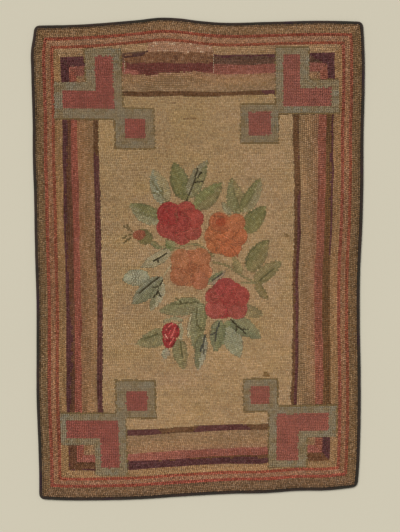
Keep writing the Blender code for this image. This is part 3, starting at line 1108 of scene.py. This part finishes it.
def hook_rows():
    """Every loop: its point, its heading, the number of its row and its order in it, its owner
    and its place among the stripes. A loop stays where its own part of the design holds it."""
    rows = [(points, side, -1) for points, side in stripe_rows() + field_rows()]
    for number, motif in enumerate(MOTIFS):
        rows += [(points, -1, number) for points in motif.rows()]
    points = np.concatenate([row[0] for row in rows])
    lengths = [len(row[0]) for row in rows]
    heading = np.concatenate([heading_of(row[0]) for row in rows])
    side = np.repeat([row[1] for row in rows], lengths)
    rank = np.repeat([row[2] for row in rows], lengths)
    number = np.repeat(np.arange(len(rows)), lengths)
    order = np.concatenate([np.arange(n) for n in lengths])
    x, y = points.T
    at_side, place, _, inset = nearest_stripe(x, y)
    ground = rank < 0
    striped_ground = (side >= 0) & (at_side == side) & (place < FIELD)
    field_ground = (side < 0) & (place >= FIELD)
    kept = (owner(x, y) == rank) & (~ground | striped_ground | field_ground)
    kept &= inset > PILE_START
    return points[kept], heading[kept], number[kept], order[kept], rank[kept], place[kept]


def near_pairs(points, cell):
    """Pairs of loops in the same or neighbouring cells of a square net, as two index arrays,
    worked out for all loops at once from a table of who is in each cell."""
    low = points.min(axis=0) - cell
    i, j = ((points - low) / cell).astype(int).T
    wide, high = i.max() + 2, j.max() + 2
    cell_number = i * high + j
    order = np.argsort(cell_number, kind="stable")
    ordered = cell_number[order]
    first = np.searchsorted(ordered, ordered)
    rank = np.arange(len(points)) - first
    table = np.full((wide * high, rank.max() + 1), -1)
    table[ordered, rank] = order
    left, right = [], []
    for step_i in (-1, 0, 1):
        for step_j in (-1, 0, 1):
            other = table[(i + step_i) * high + j + step_j]
            a, slot = np.nonzero((other >= 0) & (other != np.arange(len(points))[:, None]))
            left.append(a)
            right.append(other[a, slot])
    return np.concatenate(left), np.concatenate(right)


def thin_out(points, rank, closest):
    """Which loops stay: of two that are too close, the one of the lower motif goes."""
    a, b = near_pairs(points, ROW)
    gap = np.linalg.norm(points[a] - points[b], axis=1)
    loses = (gap < closest) & ((rank[a] < rank[b]) | ((rank[a] == rank[b]) & (a > b)))
    kept = np.ones(len(points), bool)
    kept[a[loses]] = False
    return kept


def settle(points, free):
    """Loops that stand too close push each other into the gaps, as wool does. Each moves by
    the sum of the pushes, which grow as the gap closes."""
    points = points.copy()
    for _ in range(PUSH_ROUNDS):
        a, b = near_pairs(points, ROW)
        apart = points[a] - points[b]
        gap = np.maximum(np.linalg.norm(apart, axis=1), 0.05)
        push = PUSH * np.maximum(TOUCHING * ROW - gap, 0) / gap
        move = np.zeros_like(points)
        for k in (0, 1):
            move[:, k] = np.bincount(a, apart[:, k] * push, len(points))
        move[~free] = 0
        points += np.clip(move, -LONGEST_PUSH, LONGEST_PUSH)
    return points


def pile_height(x, y, inset):
    """The pile's top: its mean height, slow waves that die out at the rim, and the shoulder
    where the last rows lie lower."""
    u, v = x / SPAN[0], y / SPAN[1]
    waves = sum(
        rise * np.sin(2 * np.pi * (across * u + along * v) + phase)
        for rise, across, along, phase in PILE_WAVES
    )
    inside = np.clip(np.minimum(0.5 - np.abs(u), 0.5 - np.abs(v)) / CALM_RIM, 0, 1)
    return PILE_TOP + waves * inside + np.interp(inset, *SHOULDER)


def mat_height(x, y, inset):
    """The top of the mat of packed wool: below the pile's top, and down to the thin margin."""
    full = pile_height(x, y, inset) - MAT_DEPTH - MAT_RIM
    return np.interp(inset, MAT_RISE, (0.0, 1.0)) * full + MAT_RIM


def tones(number, order, zone):
    """How much lighter or darker each loop is, in display steps: by row, by the strip of wool
    it was hooked from, which lasts a dozen loops or so, and by itself, which goes by the part
    of the rug. Worn loops are greyer too, so the steps are alike in red, green and blue."""
    strip = (order + 5 * number) // STRIP_LOOPS
    by_row = CHANCE[(number * 37) % CHANCES]
    by_strip = CHANCE[(number * 131 + strip * 977) % CHANCES]
    alone = np.clip(rng.normal(size=len(number)), -TONE_LIMIT, TONE_LIMIT)
    own = np.select([zone == name for name, _ in HEATHER], [amount for _, amount in HEATHER])
    return ROW_TONE * by_row + STRIP_TONE * by_strip + own * alone


# A loop's outline: six corners round it, those at its ends first and fourth.
CORNERS_ROUND = np.radians([0, 62, 118, 180, 242, 298])
SIDE_FACES = np.array([(k, (k + 1) % 6, 6 + (k + 1) % 6, 6 + k) for k in range(6)])
TOP_FACES = ((11, 6, 7), (7, 8, 10, 11), (8, 9, 10))


def loop_corners(x, y, heading, root, top, lean, scale):
    """Twelve corners a loop: a ring at its root, and a smaller ring at its top that is lower
    at the loop's two ends, like a hoop. The top ring is moved by the lean and a chance sway."""
    count = len(x)
    heading = heading + rng.normal(scale=TWIST_SPREAD, size=count)
    long = LOOP_LENGTH * scale * (1 + rng.normal(scale=LENGTH_SPREAD, size=count))
    wide = LOOP_WIDTH * scale * (1 + rng.normal(scale=WIDTH_SPREAD, size=count))
    sway = rng.normal(scale=SWAY_SPREAD, size=(count, 2)) + lean
    ends = np.isin(np.arange(6), (0, 3))
    cos, sin = np.cos(heading)[:, None], np.sin(heading)[:, None]
    points = np.zeros((count, 12, 3))
    for ring, share_long, share_wide in ((0, 1.0, 1.0), (1, TOP_LENGTH, TOP_WIDTH)):
        u = long[:, None] * share_long * np.cos(CORNERS_ROUND)
        v = wide[:, None] * share_wide * np.sin(CORNERS_ROUND)
        part = slice(6 * ring, 6 * ring + 6)
        points[:, part, 0] = x[:, None] + u * cos - v * sin + ring * sway[:, :1]
        points[:, part, 1] = y[:, None] + u * sin + v * cos + ring * sway[:, 1:]
    points[:, :6, 2] = root[:, None]
    points[:, 6:, 2] = top[:, None] - TOP_DROP * ends
    return points


def new_mesh(name, points, corners, sizes, material):
    """A mesh in metres from points in mm, the corners of all faces in a row, and how many
    corners each face has."""
    mesh = bpy.data.meshes.new(name)
    mesh.vertices.add(len(points))
    mesh.vertices.foreach_set("co", (np.asarray(points) * MM).astype(np.float32).ravel())
    mesh.loops.add(len(corners))
    mesh.loops.foreach_set("vertex_index", np.asarray(corners, np.int32))
    mesh.polygons.add(len(sizes))
    starts = np.concatenate([[0], np.cumsum(sizes)[:-1]])
    mesh.polygons.foreach_set("loop_start", starts.astype(np.int32))
    mesh.update(calc_edges=True)
    mesh.shade_smooth()
    mesh.materials.append(material)
    obj = bpy.data.objects.new(name, mesh)
    bpy.context.scene.collection.objects.link(obj)
    return obj


def dye(obj, light):
    """Writes each point's wool colour on the mesh, as shares of light, with any painted shade that
    the caller has put in.
    """
    made = obj.data.attributes.new("wool", "FLOAT_COLOR", "POINT")
    full = np.column_stack([light, np.ones(len(light))]).astype(np.float32)
    made.data.foreach_set("color", full.ravel())


def flat_map(obj, across, along):
    """A UV map from two numbers a point, scaled together to fill the square."""
    corner = np.empty(len(obj.data.loops), np.int32)
    obj.data.loops.foreach_get("vertex_index", corner)
    uv = np.column_stack([across, along]).astype(float)
    uv = 0.002 + 0.996 * (uv - uv.min(axis=0)) / np.ptp(uv, axis=0).max()
    layer = obj.data.uv_layers.new(name="OFBake")
    layer.data.foreach_set("uv", uv[corner].astype(np.float32).ravel())


def pile_piece(name, loops, light, material):
    """One part of the pile as a mesh: its loops side by side."""
    count = len(loops)
    base = np.arange(count) * 12
    sides = (base[:, None, None] + SIDE_FACES).reshape(count, -1)
    tops = [base[:, None] + np.array(face) for face in TOP_FACES]
    corners = np.concatenate([sides] + tops, axis=1).ravel()
    sizes = np.tile([4] * 6 + [len(face) for face in TOP_FACES], count)
    points = loops.reshape(-1, 3)
    obj = new_mesh(name, points, corners, sizes, material)
    # The root ring of each loop gets painted shade, darker than its top ring.
    shade = np.tile([SIDE_PAINTED_SHADE] * 6 + [1.0] * 6, count)
    shade *= 1 + rng.normal(scale=SHADE_SPREAD, size=12 * count)
    dye(obj, np.repeat(light, 12, axis=0) * shade[:, None])
    flat_map(obj, points[:, 0], points[:, 1])
    return obj


def make_pile(materials):
    """The pile in as many pieces as it has kinds of wool."""
    points, heading, number, order, rank, place = hook_rows()
    kept = thin_out(points, rank, TOO_CLOSE * ROW)
    points, heading, number = points[kept], heading[kept], number[kept]
    order, rank, place = order[kept], rank[kept], place[kept]
    wool, zone, _ = design(*points.T)
    points = settle(points, place > 1)
    x, y = points.T
    side, _, _, inset = nearest_stripe(x, y)
    top = pile_height(x, y, inset) + rng.normal(scale=HEIGHT_SPREAD, size=len(x))
    top[(zone == "mend") & (y > MEND_LOW)] -= MEND_SUNK
    inward = np.array([side_frame(k)[2] for k in range(4)])[side]
    lean = -inward * np.interp(inset, (PILE_START, LEAN_END), (EDGE_LEAN, 0.0))[:, None]
    scale = np.array([motif.size for motif in MOTIFS] + [1.0])[rank]
    root = np.where(inset < EDGE_ROOTS, LOOP_ROOT, mat_height(x, y, inset) - 0.5)
    loops = loop_corners(x, y, heading, root, top, lean, scale)
    wool = np.maximum(wool + tones(number, order, zone)[:, None], DARKEST_WOOL)
    light = light_of(wool) * PILE_LIFT
    warmth = rng.normal(scale=WARMTH_SPREAD, size=len(x))
    light *= 1 + np.column_stack([warmth, np.zeros(len(x)), -1.4 * warmth])
    made = []
    for name in sorted(set(zone)):
        part = zone == name
        made.append(pile_piece("pile_" + name, loops[part], light[part], materials[name]))
    return made


# The burlap


def grid_in(ring, inward, counts, inset):
    """A grid stretched over the outline at an inset, its four sides blended across: the mean
    of what opposite sides give, less what the corners give."""
    rim = ring + inward * inset
    along, across = counts
    first = np.cumsum([0, along, across, along])
    left = rim[first[0] : first[1] + 1][::-1]
    bottom = rim[first[1] : first[2] + 1]
    right = rim[first[2] : first[3] + 1]
    top = np.concatenate([rim[first[3] :], rim[:1]])[::-1]
    u = np.linspace(0, 1, across + 1)[None, :, None]
    v = np.linspace(0, 1, along + 1)[:, None, None]
    corners = (1 - v) * ((1 - u) * bottom[0] + u * bottom[-1]) + v * ((1 - u) * top[0] + u * top[-1])
    return (1 - v) * bottom + v * top + (1 - u) * left[:, None] + u * right[:, None] - corners


def grid_faces(rows, columns, start, flip):
    """The four-cornered faces of a grid whose points are numbered row by row."""
    j, i = np.meshgrid(np.arange(rows), np.arange(columns), indexing="ij")
    a = start + j * (columns + 1) + i
    faces = np.stack([a, a + 1, a + columns + 2, a + columns + 1], axis=-1).reshape(-1, 4)
    return faces[:, ::-1] if flip else faces


def rim_order(rows, columns):
    """A grid's border points in order: up its right side from the lower left corner."""
    wide = columns + 1
    low = np.arange(columns)
    right = np.arange(rows) * wide + columns
    high = rows * wide + np.arange(columns, 0, -1)
    left = np.arange(rows, 0, -1) * wide
    return np.concatenate([low, right, high, left])


def make_burlap(material):
    """The foundation with the wool's roots in it: a mat above, and below a flat face that
    shows the design in stitches, joined round the rim. Both are the same grid of points."""
    counts = BURLAP_CELLS
    flat = grid_in(*edge_ring(counts * 2), counts, MARGIN_EDGE + 0.3).reshape(-1, 2)
    inset = nearest_stripe(*flat.T)[3]
    low = np.interp(inset, MARGIN_RISE, (BURLAP_MARGIN + 0.1, 0.05))
    high = mat_height(*flat.T, inset)
    points = np.concatenate([np.column_stack([flat, low]), np.column_stack([flat, high])])
    rim = rim_order(*counts)
    onward = np.roll(rim, -1)
    walls = np.column_stack([rim, onward, onward + len(flat), rim + len(flat)])
    below, above = grid_faces(*counts, 0, True), grid_faces(*counts, len(flat), False)
    faces = np.concatenate([below, above, walls])
    obj = new_mesh("burlap", points, faces.ravel(), [4] * len(faces), material)
    wool = light_of(design(*flat.T)[0])
    wool[inset < PILE_START + 1] = light_of(JUTE)
    # The mat face between the loops gets painted shade, darker than the face below, which keeps the
    # design's colour.
    dye(obj, np.concatenate([wool, wool * MAT_PAINTED_SHADE]) * PILE_LIFT)
    upper = np.arange(len(points)) >= len(flat)
    flat_map(obj, points[:, 0] + UPPER_MAP * upper, points[:, 1])
    return obj


# The binding


def uneven(arc, rows):
    """Soft unevenness along the edge: the sum of patches of several lengths."""
    return sum(amount * patches(arc, 0 * arc, length, 9, place) for amount, length, place in rows)


def make_binding(material):
    """The tape round the edge: the solids' section carried along the edge, with the puckers
    that hand sewing leaves and a wandering inner edge."""
    ring, inward = edge_ring(TAPE_POINTS)
    count = len(ring)
    middle = FOLD_HEIGHT / 2
    # Columns: in from the edge, above the floor.
    section = np.array(
        (
            (LAP, 0.05),
            (TAPE_SHOULDER, 0.0),
            (FOLD_DEPTH, 0.0),
            (FOLD_ROUND_IN, FOLD_ROUND_UP),
            (0.0, middle),
            (FOLD_ROUND_IN, FOLD_HEIGHT - FOLD_ROUND_UP),
            (FOLD_DEPTH, FOLD_HEIGHT),
            (TAPE_SHOULDER, FOLD_HEIGHT + TAPE_CREST),
            (LAP, FOLD_HEIGHT),
            (LAP + 0.1, FOLD_HEIGHT - TAPE),
            (2 * TAPE, FOLD_HEIGHT - TAPE),
            (TAPE, middle),
            (2 * TAPE, TAPE),
            (LAP, TAPE),
        )
    )
    arc = np.arange(count) * np.linalg.norm(np.roll(ring, -1, axis=0) - ring, axis=1).mean()
    pucker = STITCH_PUCKER * np.cos(2 * np.pi * arc / STITCH_STEP) + uneven(arc, TAPE_PUCKER)
    depth = np.broadcast_to(section[:, 0], (count, len(section))).copy()
    height = np.broadcast_to(section[:, 1], (count, len(section))).copy()
    inner = section[:, 0] > 4
    upper = section[:, 1] > middle
    depth[:, inner] += uneven(arc, TAPE_WANDER)[:, None]
    depth[:, ~inner] += np.maximum(uneven(arc, TAPE_SWELL), 0)[:, None]
    height[:, inner & upper] += np.clip(pucker, *PUCKER_LIMITS)[:, None]
    flat = ring[:, None, :] + inward[:, None, :] * depth[..., None]
    points = np.concatenate([flat, height[..., None]], axis=2).reshape(-1, 3)
    wide = len(section)
    i, k = np.meshgrid(np.arange(count), np.arange(wide), indexing="ij")
    after, turn = (i + 1) % count, (k + 1) % wide
    faces = np.stack([i * wide + k, after * wide + k, after * wide + turn, i * wide + turn], -1)
    tape = new_mesh("binding_tape", points, faces.ravel(), [4] * (count * wide), material)
    return tape, ring, inward


def make_threads(name, starts, ends, rise, width, material):
    """Short threads: a four-sided tube each, so wide and raised by so much at its middle, and
    thin at its ends."""
    count = len(starts)
    run = ends - starts
    across = np.column_stack([-run[:, 1], run[:, 0], 0 * run[:, 0]])
    across /= np.linalg.norm(across, axis=1)[:, None]
    points = np.zeros((count, 3, 4, 3))
    for ring, (share, thick, lift) in enumerate(((0.0, 0.4, 0.0), (0.5, 1.0, 1.0), (1.0, 0.4, 0.0))):
        centre = starts + share * run + np.array([0, 0, rise * lift])
        half = width * thick / 2
        points[:, ring, 0] = centre + across * half
        points[:, ring, 1] = centre + np.array([0, 0, half])
        points[:, ring, 2] = centre - across * half
        points[:, ring, 3] = centre - np.array([0, 0, half])
    walls = [
        (4 * r + k, 4 * r + 4 + k, 4 * r + 4 + (k + 1) % 4, 4 * r + (k + 1) % 4)
        for r in (0, 1)
        for k in range(4)
    ]
    faces = np.array(walls + [(0, 1, 2, 3), (11, 10, 9, 8)])
    corners = (np.arange(count)[:, None, None] * 12 + faces).ravel()
    return new_mesh(name, points.reshape(-1, 3), corners, [4] * (10 * count), material)


def make_binding_stitches(ring, inward, material):
    """Slanting stitches that hold the tape's inner edge to the foundation."""
    closed = np.concatenate([ring, ring[:1]])
    total = np.linalg.norm(np.diff(closed, axis=0), axis=1).sum()
    count = round(total / STITCH_STEP)
    spots = evenly(closed, count)[:-1]
    nearest = np.linspace(0, len(ring), count, endpoint=False).astype(int)
    into = inward[nearest]
    along = np.column_stack([into[:, 1], -into[:, 0]])
    slip = rng.normal(scale=STITCH_SLIP, size=(count, 1))
    start = spots + into * (STITCH_IN[0] + 0.3 * slip) - along * STITCH_SLANT[0]
    end = spots + into * (STITCH_IN[1] + 0.4 * slip) + along * (STITCH_SLANT[1] + slip)
    low = np.full(count, FOLD_HEIGHT + TAPE_CREST)
    starts, ends = np.column_stack([start, low]), np.column_stack([end, low + 0.5])
    return make_threads("binding_stitches", starts, ends, 0.25, 0.75, material)


def make_mend_stitches(material):
    """Cream running stitches down the two ends of the mend."""
    starts, ends = [], []
    for x, low, high in MEND_STITCHES:
        for y in np.arange(low, high, MEND_STITCH_STEP):
            starts.append((x + rng.normal(scale=STITCH_SLIP), y, PILE_TOP + 0.1))
            ends.append((x + rng.normal(scale=STITCH_SLIP), y + MEND_STITCH, PILE_TOP + 0.1))
    return make_threads("mend_stitches", np.array(starts), np.array(ends), 0.5, 1.3, material)


# Materials


def give(tree, socket, value):
    """Links another node's output to a socket, or else sets the socket's value."""
    if isinstance(value, bpy.types.NodeSocket):
        tree.links.new(value, socket)
    else:
        socket.default_value = value


def node(tree, kind, **settings):
    """A new node: each setting goes to the input of its name, or else to the node itself."""
    made = tree.nodes.new(kind)
    for key, value in settings.items():
        if key in made.inputs:
            give(tree, made.inputs[key], value)
        else:
            setattr(made, key, value)
    return made


def noise(tree, place, scale, detail, roughness=0.5):
    """Random values between 0 and 1, with so many swings in a metre and so many finer steps."""
    made = node(tree, "ShaderNodeTexNoise", Vector=place, Scale=scale)
    give(tree, made.inputs["Detail"], detail)
    give(tree, made.inputs["Roughness"], roughness)
    return made.outputs["Fac"]


def maths(tree, operation, *values):
    """What an operation makes of its values, each a number or an output."""
    made = node(tree, "ShaderNodeMath", operation=operation)
    for socket, value in zip(made.inputs, values):
        give(tree, socket, value)
    return made.outputs[0]


def scaled(tree, vector, factor):
    """A place or a colour times a factor."""
    made = node(tree, "ShaderNodeVectorMath", operation="SCALE", Scale=factor)
    give(tree, made.inputs[0], vector)
    return made.outputs[0]


def blended(tree, share, a, b):
    """The colour a where the share is 0, and b where it is 1."""
    made = node(tree, "ShaderNodeMix", data_type="RGBA")
    for number, value in ((0, share), (6, a), (7, b)):
        give(tree, made.inputs[number], value)
    return made.outputs[2]


def ramp(tree, share, stops):
    """The colour at a share, between stops of a place and a colour in shares of light."""
    made = node(tree, "ShaderNodeValToRGB", Fac=share)
    elements = made.color_ramp.elements
    elements[0].position, elements[1].position = stops[0][0], stops[-1][0]
    for position, _ in stops[1:-1]:
        elements.new(position)
    for element, (_, light) in zip(elements, stops):
        element.color = (*light, 1.0)
    return made.outputs["Color"]


def use_group(tree, group, place, **settings):
    """The outputs of one of the shared groups, by name."""
    return node(tree, "ShaderNodeGroup", node_tree=group, Place=place, **settings).outputs


def new_group(name, inputs, outputs):
    """A node group with sockets of the given names and kinds: its tree, what it is given and
    the sockets for what it makes."""
    tree = bpy.data.node_groups.new(name, "ShaderNodeTree")
    for way, sockets in (("INPUT", inputs), ("OUTPUT", outputs)):
        for socket, kind in sockets.items():
            tree.interface.new_socket(socket, in_out=way, socket_type="NodeSocket" + kind)
    given, result = tree.nodes.new("NodeGroupInput"), tree.nodes.new("NodeGroupOutput")
    return tree, given.outputs, result.inputs


def wool_group():
    """Fuzz shared by everything of wool: fine fibres and slubs tint a colour and stand up
    from it. Colour goes with 1 + strength * (fibres + slubs - 1)."""
    inputs = {"Place": "Vector", "Wool": "Color", "Fibres": "Float", "Strength": "Float"}
    tree, given, result = new_group("wool_fuzz", inputs, {"Colour": "Color", "Height": "Float"})
    fibres = noise(tree, given["Place"], given["Fibres"], 3.0, 0.65)
    slubs = noise(tree, given["Place"], 260.0, 2.0)
    centred = maths(tree, "SUBTRACT", maths(tree, "ADD", fibres, slubs), 1.0)
    swing = maths(tree, "MULTIPLY_ADD", centred, given["Strength"], 1.0)
    give(tree, result["Colour"], scaled(tree, given["Wool"], swing))
    give(tree, result["Height"], fibres)
    return tree


def weave_group():
    """A plain weave on object coordinates: two crossed sets of threads that pass over and
    under each other. Height goes with sin(x) sin(y) / 2 and a little roughness."""
    inputs = {"Place": "Vector", "Threads": "Float"}
    tree, given, result = new_group("plain_weave", inputs, {"Height": "Float"})
    place = scaled(tree, given["Place"], given["Threads"])
    parts = node(tree, "ShaderNodeSeparateXYZ", Vector=place).outputs
    weave = maths(tree, "MULTIPLY", *(maths(tree, "SINE", parts[axis]) for axis in "XY"))
    rough = noise(tree, given["Place"], 900.0, 2.0)
    give(tree, result["Height"], maths(tree, "MULTIPLY_ADD", weave, 0.5, rough))
    return tree


def new_material(name, roughness, sheen):
    """A matt material: itself, its tree and the object coordinates in it."""
    made = bpy.data.materials.new(name)
    made.use_nodes = True
    inputs = made.node_tree.nodes["Principled BSDF"].inputs
    inputs["Roughness"].default_value = roughness
    inputs["Metallic"].default_value = 0.0
    inputs["Specular IOR Level"].default_value = 0.1
    inputs["Sheen Weight"].default_value = sheen
    inputs["Sheen Roughness"].default_value = 0.6
    place = node(made.node_tree, "ShaderNodeTexCoord").outputs["Object"]
    return made, made.node_tree, place


def cover(tree, colour, height=None, strength=0.0, depth=0.0):
    """Gives a material its colour, and a relief so strong and so many metres deep."""
    inputs = tree.nodes["Principled BSDF"].inputs
    give(tree, inputs["Base Color"], colour)
    if height is not None:
        relief = node(tree, "ShaderNodeBump", Strength=strength, Distance=depth, Height=height)
        give(tree, inputs["Normal"], relief.outputs["Normal"])


def pile_material(name, group, fibres, strength, sheen):
    """Hooked wool: the colour on the mesh, dyed wool with painted shade towards the loops' roots,
    with the fuzz over it.
    """
    made, tree, place = new_material(name, 0.95, sheen)
    wool = node(tree, "ShaderNodeAttribute", attribute_name="wool").outputs["Color"]
    fuzz = use_group(tree, group, place, Wool=wool, Fibres=fibres, Strength=strength)
    cover(tree, fuzz["Colour"], fuzz["Height"], *WOOL_RELIEF)
    return made


def burlap_material(weave):
    """Jute with the stitches of the pile showing through it from behind; on the mat above, the same
    colour carries painted shade.
    """
    made, tree, place = new_material("burlap_back", 0.95, 0.1)
    wool = node(tree, "ShaderNodeAttribute", attribute_name="wool").outputs["Color"]
    threads = use_group(tree, weave, place, Threads=BURLAP_WEAVE)
    speckle = ramp(tree, noise(tree, place, 420.0, 3.0), ((0.42, (0, 0, 0)), (0.62, (1, 1, 1))))
    share = maths(tree, "MULTIPLY", speckle, 0.45)
    colour = blended(tree, share, wool, (*light_of(JUTE_FRONT), 1.0))
    cover(tree, colour, threads["Height"], *BURLAP_RELIEF)
    return made


def tape_material(weave):
    """Dark cotton tape: brown-black with worn greenish and purplish stretches."""
    made, tree, place = new_material("binding_cotton", 0.85, 0.1)
    threads = use_group(tree, weave, place, Threads=TAPE_WEAVE)
    stops = [(position, light_of(colour)) for position, colour in TAPE_SHADES]
    shade = ramp(tree, noise(tree, place, 14.0, 2.0), stops)
    worn = maths(tree, "MULTIPLY_ADD", noise(tree, place, 260.0, 3.0), 0.9, 0.6)
    cover(tree, scaled(tree, shade, worn), threads["Height"], *TAPE_RELIEF)
    return made


def thread_material(name, colour, group):
    """Sewing thread, plain but for its fuzz."""
    made, tree, place = new_material(name, 0.8, 0.1)
    wool = (*light_of(colour), 1.0)
    fuzz = use_group(tree, group, place, Wool=wool, Fibres=2500.0, Strength=0.5)
    cover(tree, fuzz["Colour"], fuzz["Height"], *THREAD_RELIEF)
    return made


def floor_material():
    """Plain pale paper."""
    made, tree, place = new_material("pale_floor", 0.9, 0.0)
    dark, pale = ((*FLOOR_LIGHT * (1 + sign * FLOOR_GRAIN), 1.0) for sign in (-1, 1))
    cover(tree, blended(tree, noise(tree, place, 3.0, 2.0), dark, pale))
    return made


# The studio


def make_floor():
    """The paper under the rug, part of the studio and not of the piece."""
    mesh = bpy.data.meshes.new("floor")
    signs = ((-1, -1), (1, -1), (1, 1), (-1, 1))
    corners = [(FLOOR_HALF * x, FLOOR_HALF * y, -FLOOR_DROP) for x, y in signs]
    mesh.from_pydata(corners, [], [(0, 1, 2, 3)])
    floor = bpy.data.objects.new("floor", mesh)
    floor.data.materials.append(floor_material())
    bpy.context.scene.collection.objects.link(floor)


def make_studio():
    """The camera straight above, one broad soft light from the upper left, and even fill."""
    scene = bpy.context.scene
    scene.view_settings.view_transform = "Standard"
    camera = bpy.data.objects.new("camera", bpy.data.cameras.new("camera"))
    camera.data.sensor_fit = "VERTICAL"
    camera.data.sensor_height = SENSOR
    camera.data.lens = SENSOR * CAMERA_HEIGHT / FRAME_HEIGHT
    x, y = (value * MM for value in FRAME_MIDDLE)
    camera.location = (x, y, CAMERA_HEIGHT + PILE_TOP * MM)
    scene.collection.objects.link(camera)
    scene.camera = camera

    sun = bpy.data.objects.new("key_light", bpy.data.lights.new("key_light", "SUN"))
    sun.data.energy = SUN_STRENGTH
    sun.data.angle = np.radians(SUN_SOFTNESS)
    sun.rotation_euler = np.radians(SUN_TURN)
    scene.collection.objects.link(sun)

    world = bpy.data.worlds.new("studio")
    world.use_nodes = True
    background = world.node_tree.nodes["Background"]
    background.inputs["Color"].default_value = (1.0, 1.0, 1.0, 1.0)
    background.inputs["Strength"].default_value = FILL_STRENGTH
    scene.world = world


def main():
    """Makes everything, puts each piece under the root body and hides the solids of the rug and
    its binding."""
    make_studio()
    make_floor()
    wool, weave = wool_group(), weave_group()
    pile = make_pile({name: pile_material("wool_" + name, wool, *kind) for name, *kind in WOOLS})
    burlap = make_burlap(burlap_material(weave))
    tape, ring, inward = make_binding(tape_material(weave))
    sewn = make_binding_stitches(ring, inward, thread_material("dark_thread", DARK_THREAD, wool))
    cream = make_mend_stitches(thread_material("cream_thread", CREAM_THREAD, wool))

    for obj in pile + [burlap, cream]:
        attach(obj, "root")
    for obj in (tape, sewn):
        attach(obj, "root")
    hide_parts("rug")
    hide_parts("binding")


main()
